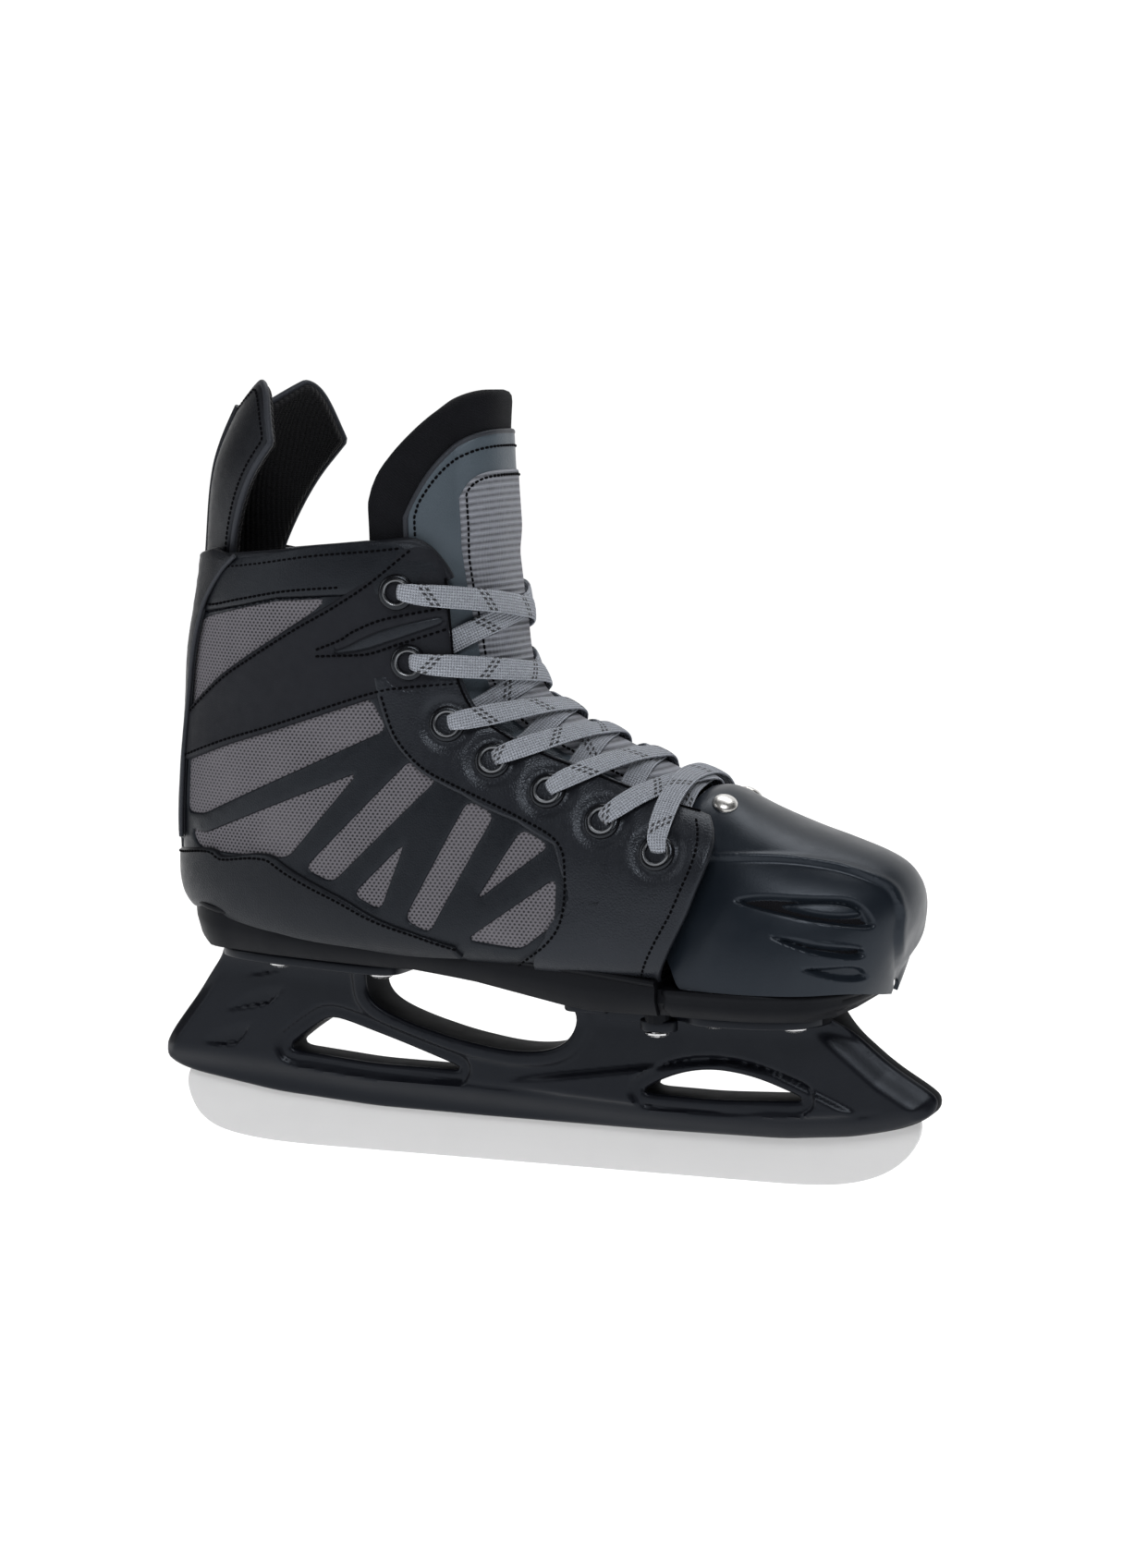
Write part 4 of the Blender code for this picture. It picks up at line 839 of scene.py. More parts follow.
def make_runner():
    line = [(-90, 0), (0, 0), (90, 0), (104, 0.7), (116, 3.2), (125, 7.6), (131, 13.5),
            (134.5, 21), (133, 27.5), (118, 26), (100, 24.5), (-96, 24.5), (-116, 27.5),
            (-129.5, 29.5), (-134.5, 21), (-132.5, 13), (-128.6, 7.2), (-121, 2.9), (-106, 0.6)]
    points, faces = plate(soft_corners(line, 1.5, 5), -1.5, 1.5, 0.25)
    runner = add_mesh("runner", points[:, [0, 2, 1]], faces, BLADE, "skate", sharp=30)
    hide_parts("steel_runner")


# ---- soles

SOLE_PLAN = [(-126, 0), (-125, 8), (-121, 16.5), (-114, 23), (-104, 27.5), (-90, 30),
             (-70, 31), (-45, 31), (-20, 32), (5, 34.5), (30, 37), (54, 38)]
SOLE_TOP = [(-126, 90), (-109, 87), (-74, 82), (-32, 79), (30, 75), (54, 72.5)]
SOLE_UNDER = [(-126, 83), (-121, 76.5), (-114, 72.3), (-44, 69.2), (-36, 69.4), (-12, 66.8),
              (20, 61.5), (30, 60.3), (54, 60.3)]
TOE_PLAN = [(54.3, 35.5), (62, 36.4), (72, 37.2), (84, 37.4), (95, 35), (104, 30.5), (111, 24),
            (115.5, 16.5), (118, 9), (118.8, 0)]


def make_heel_sole():
    s, a = crossed(np.linspace(5.5, TOE_END, 90), np.linspace(1.2, 2 * pi - 1.2, 120))
    tree = grid_tree(boot_surface(s, wrapped(a)))
    rear = -126.0 + 22.0 * np.linspace(0, 1, 16) ** 2
    xs = np.unique(np.concatenate([rear, np.linspace(-104, 11.9, 50), [12], np.linspace(13, 54, 24)]))
    wide = np.interp(xs, *np.array(SOLE_PLAN).T)
    wide[:16] = 27.5 * np.sqrt(np.clip(1 - ((-104 - xs[:16]) / 22) ** 2.1, 0, 1))
    rings = []
    for x, w in zip(xs, np.maximum(wide, 0.5)):
        top, low = level_at(SOLE_TOP, x), level_at(SOLE_UNDER, x)
        base = max(w - 3, 0.3)
        notch = 63.9 if x >= 12.0 else low  # a channel for the toe section's rail
        slot = min(15.5, base - 0.1)
        half = [(0, notch), (slot, notch), (min(15.6, base), low), (base - 0.4 * (base > 1), low),
                (base + 0.4, low + 0.5), (w, (top + low) / 2 - 1), (w + 0.3, (top + low) / 2 + 1), (w, top - 2.3),
                (w + 0.7, top - 1.9), (w + 1, top - 1.2), (w + 0.75, top - 0.4), (w, top)]
        cup = []
        for share in (0.97, 0.93, 0.89, 0.85, 0.8, 0.7, 0.55, 0.35, 0):
            hit = tree.ray_cast(Vector((x, -w * share, 0)), Vector((0, 0, 1)))[0]
            cup.append((w * share, min(hit.z - 0.15 if hit else top - 0.3, top - 0.3)))
        half += cup  # the top follows the boot's underside
        rings.append([(x, -y, z) for y, z in half] + [(x, y, z) for y, z in half[-2:0:-1]])
    sole = add_mesh("heel_sole_shape", *capped(rings), SOLE, "skate", sharp=40)
    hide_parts("heel_sole")


def make_toe_rand():
    """The smooth band round the toe sole."""
    half = soft_corners(both_sides(TOE_PLAN), 1.6, 5)
    low = np.interp(half[:, 0], [54, 104, 113, 121], [60.2, 60.2, 62, 66.4])
    rings = []
    for away, share in ((-3.4, 0.02), (-2.6, -0.01), (-1.8, 0.1), (0.3, 0.3), (0.9, 0.5), (0.6, 0.72), (1.1, 0.8),
                        (1.2, 0.92), (0.7, 1), (-1, 0.98)):
        rings.append(np.column_stack([half + outward(half) * away, low + (69.3 - low) * share]))
    rings = np.array(rings)
    faces = grid_faces(len(rings), len(half), closed=True)
    back = np.array([half[f[0] % len(half)][0] < 54.6 and half[f[1] % len(half)][0] < 54.6 for f in faces])
    rand = add_mesh("toe_rand", rings.reshape(-1, 3), faces[~back], SOLE, "toe_section")


# ---- upper

COLLAR_LINE = [(-95.8, 208.1), (-86.1, 209.1), (-67.4, 212), (-48.4, 213.8), (-36.3, 213.9)]
COLLAR_SEAM = [(-122, 188.6), (-114.4, 188), (-97.6, 190.9), (-81.7, 194), (-61.1, 195.2)]
VAMP_SEAM = [(-44.6, 160.9), (-39.5, 147.8), (-29.4, 137.4), (-14.4, 130.3), (5.7, 122.1), (19.2, 115.2),
             (22.3, 106.4), (21.6, 92.7), (16.7, 84.7), (5.8, 77.5)]
FACING_LINE = [(-22.3, 200.1), (-21.7, 190.9), (-21.9, 183.9), (-20.2, 172), (-19.3, 167)]
BAND_UPPER = [(-35.6, 211.5), (-47.3, 201.5), (-60.5, 193), (-74.5, 185.5), (-93.7, 174.5), (-106.6, 166.8),
              (-128, 151)]
BAND_LOWER = [(-130, 134), (-123.8, 136), (-102.5, 143.4), (-82.7, 149.3), (-47.8, 160.8), (-36, 163.2),
              (-19, 164.6)]
HOLES = {
    "collar": [(-120, 184), (-112.7, 186.6), (-96.7, 190), (-81.7, 193), (-62.5, 194.2), (-67.3, 190),
               (-81.8, 181.4), (-96.9, 171.7), (-114, 159.5), (-124, 153.8), (-123, 168)],
    "strip": [(-123.8, 137.5), (-102.5, 144.5), (-82.7, 150.3), (-47.6, 161.5), (-41.6, 150.9), (-71.8, 137.3),
              (-115.2, 118.4), (-124.5, 118)],
    "heel": [(-122, 113), (-115.2, 111.4), (-51.7, 136.3), (-78.3, 106.2), (-106.8, 106), (-118.7, 107)],
    "slant": [(-32.8, 141.3), (-22.8, 135.5), (-61, 98.8), (-71.7, 102.9)],
    "small": [(-34.4, 113.6), (-53.2, 95.2), (-42.9, 90.5)],
    "slant_2": [(-12, 128.6), (-2.5, 124.2), (-25.2, 83.7), (-34.1, 87.9)],
    "front": [(7.5, 120.1), (17.6, 115.1), (-8.2, 95.6)],
    "corner": [(20.4, 104.8), (20, 89.6), (7.9, 80.4), (-11.9, 82.3)]}
CLOTH_THICK, HALF_GAP = 2.6, 0.15
VAMP_START = 4.7
SEAM_AT = [find_on_side(x, z) for x, z in VAMP_SEAM]
EYELET_PLACES = [find_on_side(x, z) for x, z in EYELETS]


def front_corner(v):
    """How far the collar's front corner is cut back, in station steps."""
    return 0.9 * np.maximum(0, 1 - v / 0.16) ** 3.0


def front_edge(v):
    """How far the front edge of quarter and vamp is cut back to round its top corner, in station steps."""
    return 0.75 * np.maximum(0, 1 - v / 0.3) ** 2.4


def front_lean(s):
    """How far the front edge swings back beside the toe cap."""
    return 0.07 * ease((s - 11.2) / 1.8)


def lacing_edge(s):
    """The angle of the leather's edge along the lacing."""
    return facing_angle(s, 27.3 - 3.0 * (s - COLLAR) / 11)


def make_quarters():
    u, v = crossed(spread(120, 0.01), spread(110, 0.012))
    first = COLLAR + front_corner(v)
    s = first + (TOE_END - 0.1 - front_edge(v) - first) * u
    start = facing_angle(s, 28.3 - 3.6 * u) + front_lean(s)
    a = start + (pi - start) * v
    outer, inner = boot(s, a, 0), boot(s, a, -CLOTH_THICK)
    for grid in (outer, inner):  # the two quarters stay apart at the back
        grid[..., 1] = np.minimum(grid[..., 1], -HALF_GAP)
    for word, side in SIDES:
        quarter = thick("quarter_cloth_" + word, mirror(outer, side), mirror(inner, side), [NET, LINING], "skate",
                        lambda points: points[:, [0, 2]] * MM)
        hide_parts("quarter_" + word)


def pucker(points):
    """How far the leather is pulled in round the eyelets."""
    sink = np.zeros(points.shape[:-1])
    for s, a in EYELET_PLACES:
        away = np.linalg.norm(points - boot(s, a, 1), axis=-1)
        sink += 0.95 * np.exp(-((away - 7.2) / 2) ** 2)
    return sink


def make_vamp():
    """The leather round the lacing and over the front of the quarter, from the lacing edge to its seam."""
    seam_s, seam_a = np.array(SEAM_AT[:-1]).T
    turn = (seam_s.max() - VAMP_START) / (TOE_END - VAMP_START)
    rows = np.unique(np.concatenate([spread(170, 0.012), np.linspace(turn - 0.005, turn + 0.035, 70)]))
    u, v = crossed(rows, spread(100, 0.015))
    s = VAMP_START + (TOE_END - front_edge(v * 0.78) - VAMP_START) * u
    start = lacing_edge(s) + front_lean(s)
    order = np.argsort(seam_s)
    last = np.interp(s, np.append(seam_s[order], seam_s.max() + 0.25), np.append(seam_a[order], 2.6))
    a = start + (last - start) * v
    flat = boot(s, a, 1.8)
    height = 1.9 - rim_drop(flat, 1.3) - pucker(flat)
    outer, inner = boot(s, a, height), boot(s, a, 0.05)
    for word, side in SIDES:
        vamp = thick("vamp_" + word, mirror(outer, side), mirror(inner, side), VAMP, "skate")
        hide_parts("facing_" + word)


def make_panels():
    """The leather sheets over the quarters: the openwork, the collar, the side band and its inlay."""
    back = [(-130.9, 107), (-130.7, 130), (-128.7, 153), (-127.3, 173), (-124.4, 186)]
    net = COLLAR_SEAM + [(-48, 196), (-24, 198), (-19.5, 168), (-34.5, 150), (-25, 141), (-10, 134),
                         (9, 126), (24, 117.5), (27, 106.5), (26.5, 92), (20, 77), (8, 72),
                         (-15, 73), (-60, 75.5), (-90, 78), (-110, 81), (-122, 85)] + back
    holes = [soft_corners(hole, 1.6, 1.6) for hole in HOLES.values()]
    pieces = panel("net_leather", [sharp_loop(net, 2.5)] + holes, 0.75, LEATHER, edge=0.6)
    collar = ([(-122.5, 206), (-110, 206.6)] + COLLAR_LINE + [(-29.3, 212.3), (-24.3, 207.4), (-22.3, 200.1),
              (-22, 194)] + [(-40, 195.5)] + COLLAR_SEAM[::-1] + [(-125, 189)])

    def puff(flat):
        return 0.5 * np.exp(-((flat[:, 1] - level_at([(-122, 199), (-60, 204), (-22, 206)], flat[:, 0])) / 7) ** 2)

    def eyelet_sink(flat):
        away = [np.hypot(flat[:, 0] - x, flat[:, 1] - z) for x, z in EYELETS[:2]]
        return -np.minimum(0.5, sum(0.6 * np.exp(-((gap - 6.2) / 1.6) ** 2) for gap in away))

    pieces += panel("collar_leather", [sharp_loop(collar, 2.5)], 1.2, LEATHER, edge=0.8, extra=puff)
    band = BAND_UPPER[::-1] + [(-29.3, 212.6), (-24.3, 207.4)] + FACING_LINE + BAND_LOWER[::-1]
    wide = [(-61, 176.2), (-55, 178.2), (-51.5, 180.2), (-44, 183.6), (-35, 186.2), (-23.6, 188.9),
            (-23.6, 186.6), (-38.1, 181.4), (-48, 178), (-56, 176.4)]
    hole = soft_corners(wide, 1.5, 1.5)
    pieces += panel("band_leather", [sharp_loop(band, 2), hole], 1.65, SUEDE, edge=0.8, step=2.6, extra=eyelet_sink)
    pieces += panel("inlay_leather", [soft_corners(wide, 1.2, 1.5)], 1, INLAY, low=0.7, edge=0.6, step=1.6)


def inset_line(line, away):
    """A side-view line moved to its right by a distance."""
    fine = smooth_line(line, 2)
    run = unit(np.gradient(fine, axis=0))
    return fine + np.stack([run[:, 1], -run[:, 0]], -1) * away


def make_stitching():
    stitches("collar_stitching", [[(-118, 202.6), (-104, 203.6), (-89.6, 205.2), (-67.4, 208.3), (-47.4, 210.1),
                                   (-38.1, 211.1)],
                                  [(-121, 192.6), (-112, 190.4), (-97, 193), (-77.9, 196.3), (-58.8, 198)]], 1.45)
    stitches("band_stitching", [inset_line(BAND_UPPER, -1.8), inset_line(BAND_LOWER[1:], -1.8)], 1.75)
    stitches("inlay_stitching", [[(-65.6, 177.4), (-57.4, 180.6), (-53, 183.4), (-44.2, 187.2), (-35, 189.4),
                                  (-23, 191.6)],
                                 [(-65.7, 175), (-58, 175.4), (-47.6, 176.2), (-38.1, 179.3), (-23.5, 184.3)]], 1.8)
    stitches("vamp_stitching", [inset_line(VAMP_SEAM, -1.7)], 2)


def make_facing_stitches():
    """A row of stitches along the lacing edge."""
    s = np.linspace(2.9, 11.9, 130)
    start = lacing_edge(s) + 0.045
    base, over = boot(s, start, 2), boot(s, start, 3)
    for word, side in SIDES:
        thread("facing_stitching_" + word, [(mirror(base, side), mirror(over - base, side))])
    v = np.linspace(0.04, 0.62, 200)
    s = TOE_END - front_edge(v) - 0.42
    start = facing_angle(s, 24) + 0.07
    a = start + (pi - start) * v + 0.03
    base = boot(s, a, 1.9)
    row = even(np.concatenate([base, boot(s, a, 2.9) - base], 1), 2)
    for word, side in SIDES:
        thread("front_stitching_" + word, [(mirror(row[:, :3], side), mirror(row[:, 3:], side))])


def make_counter():
    """The leather cup round the heel, with its row of stitches."""
    top = [(-16, 80), (-36, 85.4), (-56.2, 93.8), (-80, 104.5), (-89, 107), (-104.5, 105), (-114, 106.8)]
    low = [(-14, 77), (-36, 76.6), (-56, 78.2), (-80, 80.4), (-89, 81.6), (-104.5, 84.4), (-114, 86.6)]
    top, low = (np.array([find_on_side(x, z) for x, z in line] + [(end, pi)])
                for line, end in ((top, 7.12), (low, 7.92)))
    u, v = crossed(spread(24, 0.06), spread(150, 0.01))
    across = 2 * v - 1
    place = (len(top) - 1) * (1 - np.abs(across))
    one, two = eased(top, place), eased(low, place)
    spot = one + (two - one) * u[..., None]
    s, a = spot[..., 0], np.copysign(spot[..., 1], across)
    flat = boot(s, a, 2.1)
    height = 2.1 - rim_drop(flat, 1.2, (True, False, True, True))
    counter = thick("heel_cup", boot(s, a, height), boot(s, a, 0.3), HEEL, "skate")
    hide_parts("heel_counter")
    row = boot(s, a, 2.15)[4]  # a little below the cup's upper edge
    for word, side in SIDES:
        line = even(row[row[:, 1] * side < 2], 2)
        thread("cup_stitching_" + word, [(line, unit((line - (-75, 0, 0)) * (1, 1, 0)))])


def make_spine():
    """The strip and the two pipings down the middle of the back."""
    u, v = crossed(np.linspace(0, 1, 80), spread(10, 0.1))
    s, a = 2.05 + 5.2 * u, wrapped(pi + 0.17 * (2 * v - 1))
    flat = boot(s, a, 1)
    height = 1.3 - rim_drop(flat, 0.9)
    strip = thick("back_strip", boot(s, a, height), boot(s, a, 0.1), LEATHER, "skate")
    s = np.linspace(1.98, 7.3, 110)
    for word, turn in (("outer", 0.058), ("inner", -0.058)):
        a = math.copysign(pi - abs(turn), turn)
        line = boot(s, a, 1.7)
        tube("back_piping_" + word, line, 1.35, LEATHER, "skate", boot(s, a, 2.7) - line)


def make_back_tab():
    """The guard's leather runs on down the back of the boot and narrows to the heel, with a piped edge."""
    front = [(-98.5, 207.4), (-104, 203), (-110, 196), (-115, 188), (-119.3, 175), (-122.3, 160),
             (-124.6, 145), (-126, 125), (-126.4, 109)]
    back = [(-130.9, 107), (-130.9, 130), (-128.9, 153), (-127.5, 173), (-124.6, 190), (-121.8, 207),
            (-110, 210)]
    tabs = panel("back_tab", [sharp_loop([tuple(p) for p in smooth_line(front, 4)] + back, 2)], 2.3, GUARD, low=0.8)
    places, normals = onto_boot(smooth_line(front, 1.5), 2.2)
    for word, side in SIDES:
        tube("tab_piping_" + word, mirror(places, side), 0.8, PIPING, "skate", mirror(normals, side))


def make_collar_roll():
    """The rolled edge along the top of the quarters."""
    v = np.linspace(0, 0.985, 130)
    s = COLLAR + front_corner(v)
    start = facing_angle(s, 27)
    a = start + (pi - start) * v
    line = boot(s, a, -0.6)
    out = boot(s, a, 0.4) - line
    for word, side in SIDES:
        roll = tube("collar_roll_" + word, mirror(line, side), 1.9, BLACK_TRIM, "skate", mirror(out, side), 12)


# ---- toe

SCOOPS = [
    ([(77.7, 100.4), (87.6, 102.8), (117.4, 102.3), (123.2, 97.3), (126, 90.3), (113.3, 92.5), (100.4, 94.7),
      (82, 98.3)], 2.4),
    ([(92.5, 99.6), (103, 101.4), (112.3, 101.3), (119.2, 99.6), (122.7, 95.3), (113.1, 94.8), (100.1, 97)], -2.1),
    ([(88.9, 89.9), (104.3, 88.4), (122.5, 85.8), (122.7, 80.5), (113.6, 81.6), (101, 85)], 2.4),
    ([(97, 88.6), (110, 88), (122, 86), (122, 83.2), (112, 84), (103, 86)], -1.8),
    ([(100.3, 79.1), (121, 79.5), (123.5, 74.2), (119.8, 72.8), (113.3, 74.2), (107, 76.5)], 2)]
CAP_CREASE = [(64, 112), (73.1, 113.2), (93.4, 113.4), (111.8, 110.6), (125.5, 104.4), (130.2, 96),
              (130.3, 88.1), (129.9, 79.8), (128.4, 70), (126.5, 60)]


def make_cap():
    """The toe cap, with its brow and nose, side crease and scoops, and its two studs."""
    u, v = crossed(spread(170, 0.012, (True, False)), np.linspace(0, 1, 280))
    s, a = 12.0 * u, (v - 0.5) * pi
    flat = cap(s, a)
    side = flat[..., [0, 2]].reshape(-1, 2)
    sink = np.zeros(len(side))
    crease = np.array(CAP_CREASE)
    below = inside(side, np.concatenate([crease, [(50, 60), (50, 111)]]))
    away = distance_to(side, smooth_line(CAP_CREASE, 2), False)
    sink += np.where(below, 1.4, 0) * ease(away / 1.2) - 0.5 * np.exp(-(away / 0.8) ** 2)
    for outline, depth in SCOOPS:
        loop = soft_corners(outline, 1.5, 3)
        sink += np.where(inside(side, loop), depth, 0) * ease(distance_to(side, loop) / 1.8)
    sink = sink.reshape(s.shape) + rim_drop(flat, 1.4, (True, False, False, False))
    brow = np.exp(-((s - 7.2) / 1.5) ** 2) * np.exp(-(a / 0.75) ** 4)
    nose = ease((s - 9.3) / 1.4) * np.exp(-(a / 0.9) ** 4)
    outer = cap(s, a, 1.5 * brow - 1.2 * nose - sink)
    inner = cap(s, a, -np.maximum(3, sink + 0.9))
    for grid in (outer, inner):  # flat where the cap stands on the toe sole
        low = 69.5 - 4.6 * ease((grid[..., 0] - 108) / 14)
        grid[..., 2] = np.maximum(grid[..., 2], np.where(grid[..., 0] > 60, low, 66))
    toe = thick("toe_shell", outer, inner, CAP_PAINT, "toe_section", sharp=42)
    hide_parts("toe_cap")
    for word, way in SIDES:
        base = cap(1.9, way * 0.36)
        profile = [(4.3, -0.6), (4.3, 0.1), (4.1, 0.55), (3.6, 1), (2.9, 1.4), (2, 1.7), (1, 1.87), (0.05, 1.92)]
        rivet = turned("cap_stud_" + word, profile, base, cap(1.9, way * 0.36, 1) - base, STUD, "toe_section")
        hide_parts("cap_rivet_" + word)


def make_toe_lining():
    u, v = crossed(np.linspace(0, 1, 50), np.linspace(0, 1, 60))
    across = 2 * v - 1
    back = np.clip(1 - u / 0.2, 0, 1)
    s = 0.5 + 10.3 * np.clip((u - 0.2) / 0.8, 0, 1)
    a = across * (1.25 - 0.8 * np.minimum(1, 1.6 * back))
    shift = np.array([-24, 0, -4.5]) * back[..., None]
    outer, inner = cap(s, a, -3.6) + shift, cap(s, a, -5.4) + shift
    lining = thick("toe_lining_cloth", outer, inner, LINING, "toe_section")
    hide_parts("toe_lining")


# ---- linings and padding

def make_padding():
    u, v = crossed(spread(60, 0.04), spread(110, 0.02))
    s = COLLAR + 0.1 + 5.9 * u
    a = wrapped(pi - (2 * v - 1) * (pi - 1.66))
    quilt = np.abs(np.sin(u * pi * 3)) ** 0.5 * np.abs(np.sin(v * pi * 4)) ** 0.35
    outer, inner = boot(s, a, -3.8), boot(s, a, -6.4 - 2.6 * quilt)
    padding = thick("ankle_lining", outer, inner, LINING, "skate")
    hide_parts("ankle_padding")


def make_footbed():
    u, v = crossed(spread(50, 0.03), spread(30, 0.05))
    s, a = 8.9 + 4.0 * u, wrapped(pi - (2 * v - 1) * 0.55)
    bed = thick("footbed_cloth", boot(s, a, -3.2), boot(s, a, -6), LINING, "skate")
    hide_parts("footbed")


TONGUE_ROOT = 10.5


def tongue_station(u, across, top):
    end = 1.55 - 1.33 * np.sqrt(np.maximum(0, 1 - np.abs(across) ** 2.4)) + top
    return TONGUE_ROOT + (end - TONGUE_ROOT) * u


def tongue_grid(u, across, lift, top=0):
    s = tongue_station(u, across, top)
    a = -(1.4 - 0.06 * np.maximum(0, s - COLLAR)) * across
    return boot(s, a, lift - 0.4 - 5.0 * np.minimum(1, (np.abs(across) / 0.43) ** 2.5))


def tongue_proud(u, across, top):
    """1 on the tongue's free end and 0 behind the lacing, where its layers lie flat."""
    return ease((2.5 - tongue_station(u, across, top)) / 0.7)


def border(grid, top=-1, side=0, first=0):
    """A grid's outline: up one side from a first row, across a top row and down the other side."""
    low = grid[first:] if top == -1 else grid[first:top]
    return np.concatenate([low[:, side], grid[top, side + 1:-side - 1], low[::-1, -side - 1]])


def border_thread(name, base, over, inset, axes, lift=0, even_normals=False):
    """A row of stitches inside a grid's outline."""
    row = border(base, *inset)
    rise = border(over, *inset) - row
    both = even(np.concatenate([row, unit(rise) if even_normals else rise], 1), 1.9)
    return thread(name, [(both[:, :3] + both[:, 3:] * lift, both[:, 3:])], None, axes)


def make_tongue():
    """The tongue's padded body, leather face, piping, webbing and stitches."""
    u, v = crossed(1 - spread(110, 0.02)[::-1], spread(70, 0.03))
    across = 2 * v - 1
    flat = tongue_grid(u, across, 0)
    puff = 1.2 * np.exp(-((np.abs(across) - 0.9) / 0.1) ** 2) + 1.2 * np.exp(-((1 - u) / 0.035) ** 2)
    ends = (False, True, True, True)
    outer = tongue_grid(u, across, puff - rim_drop(flat, 3.4, ends) * 0.8)
    inner = tongue_grid(u, across, -7.0 + 0.6 * rim_drop(flat, 3, ends) + 1.6 * np.clip(1 - u / 0.5, 0, 1))
    body = thick("tongue_foam", outer, inner, FOAM, None)
    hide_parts("tongue_lower", "tongue_flap")
    u, across = crossed(spread(110, 0.015), np.linspace(-0.8, 0.8, 61))
    top = 0.46 + 0.5 * np.abs(across / 0.8) ** 4
    proud = 1.1 * tongue_proud(u, across, top)
    outer = tongue_grid(u, across, 0.35 + proud - 0.9 * rim_drop(tongue_grid(u, across, 1, top), 1), top)
    over = tongue_grid(u, across, 1.35 + proud, top)
    face = thick("tongue_face", outer, tongue_grid(u, across, -0.6, top), TONGUE, None)
    edge, rise = border(outer), border(over) - border(outer)
    piping = tube("tongue_piping", edge + rise * 0.05, 1, PIPING, None, rise)
    row = border_thread("tongue_stitching", outer, over, (-5, 2), (1, 2), 0.12, True)
    u, across = crossed(spread(120, 0.01), np.linspace(-0.42, 0.42, 41))
    top = 0.9 + 0.25 * np.abs(across / 0.42) ** 6
    proud = 1.5 * tongue_proud(u, across, top)
    outer = tongue_grid(u, across, 0.7 + proud - 0.6 * rim_drop(tongue_grid(u, across, 2, top), 0.8), top)
    over = tongue_grid(u, across, 1.7 + proud, top)
    webbing = thick("tongue_webbing", outer, tongue_grid(u, across, -0.2, top), WEBBING, None,
                    lambda points: np.column_stack([points[:, 1], points[:, 2] - 0.15 * points[:, 0]]) * MM)
    last = border_thread("webbing_stitching", outer, over, (-4, 2), (1, 2), 0.1)
    for piece in (body, face, piping, row, webbing, last):
        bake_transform(piece)


def guard_top(across):
    """The station of the guard's upper edge, which dips in the middle and peaks at the wings."""
    side = np.abs(across)
    return np.where(side > 0.58, 0.01 + ((side - 0.58) / 0.42) ** 1.5 * 0.78, 0.45 - 0.44 * (side / 0.58) ** 1.7)


def guard_grid(u, across, lift):
    low = COLLAR - 0.02
    s = low + (guard_top(across) - low) * u
    high = np.clip((low - s) / (low - 0.75), 0, 1)
    a = wrapped(pi - across * (0.7 + 0.42 * high ** 1.25))
    return boot(np.maximum(s, 0), a, lift + (1.5 - 5.0 * (1 - high) ** 1.5) * across ** 2)


def make_guard():
    """The tendon guard: shell, ribbed lining, pipings and stitches."""
    u, v = crossed(spread(64, 0.03, (False, True)), spread(100, 0.02))
    across = 2 * v - 1
    flat = guard_grid(u, across, 0)
    ends = (False, True, True, True)
    folds = 0.35 * np.sin(u * 40) * np.exp(-(across / 0.12) ** 2) * ease(u * 3) * ease((1 - u) * 4)
    outer = guard_grid(u, across, 0.3 + folds - rim_drop(flat, 1.6, ends))
    middle = guard_grid(u, across, -2.4)
    inner = guard_grid(u, across, -5.2 + rim_drop(flat, 2.6, ends))
    shell = thick("guard_shell", outer, middle, GUARD, None)
    lining = thick("guard_lining", middle, inner, RIBS, None)
    pieces = [shell, lining]
    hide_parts("tendon_guard")
    over = guard_grid(u, across, 1.3)
    edge = border(outer)
    pieces.append(tube("guard_piping", edge, 1.25, PIPING, None, border(over) - edge))
    for word, turn in SIDES:
        rows = np.linspace(0, 1, 60)
        spot = turn * (0.075 + 0.1 * rows ** 3)
        line = guard_grid(rows, spot, 0.9)
        pieces.append(tube("guard_spine_" + word, line, 1.3, GUARD, None, guard_grid(rows, spot, 1.9) - line))
    pieces.append(border_thread("guard_stitching", outer, over, (-8, 5, 2), (0, 2)))
    for piece in pieces:
        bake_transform(piece)


# ---- eyelets, lace, lock

def make_eyelets():
    # The profile ends in a black floor across the ring's hole: painted shade that stands for the dark opening.
    profile = [(5.9, 0.4), (6.1, 1.5), (5.9, 2.3), (5.2, 2.75), (4.65, 2.75), (4.5, 3.1), (4.15, 3.35), (3.75, 3.2),
               (3.5, 2.6), (3.3, 1.2), (0.05, 1.1)]
    for word, side in SIDES:
        for index, (s, a) in enumerate(EYELET_PLACES):
            base = boot(s, side * a)
            axis = boot(s, side * a, 1) - base
            ring = turned(f"eyelet_ring_{word}_{index + 1}", profile, base, axis, [RING_BLACK, NICKEL], "skate", 40,
                          [0, 0, 0, 0, 1, 1, 1, 1, 0, 0])
            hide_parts(f"eyelet_{word}_{index + 1}")


LACE_HALF, LACE_SIDES = 3.75, 24
LAST = len(EYELETS) - 1


def lace_station(s, angle, height, half=3.7):
    """A place on the lace's route: its point, the boot's normal there and the lace's half width."""
    low = boot(s, angle)
    normal = boot(s, angle, 1) - low
    return low + normal * height, normal, half


def strand_height(ratio, leaving, crown):
    """The lace's height over the boot. ratio is its place between the middle, 0, and the facing's edge, 1."""
    if leaving:
        return float(np.interp(ratio, (0, 0.55, 1, 1.3), (crown, crown, 3.2, 4.1)))
    return float(np.interp(ratio, (0, 0.28, 0.84, 1.1), (crown, crown - 0.4, -3.5, -3.9)))


def through_eyelet(index, side):
    s, angle = EYELET_PLACES[index]
    return [lace_station(s, side * (angle - turn), height, half)
            for height, half, turn in ((-4.3, 2.1, 0), (-0.4, 2.3, 0.01), (2.6, 2.7, 0.03))]


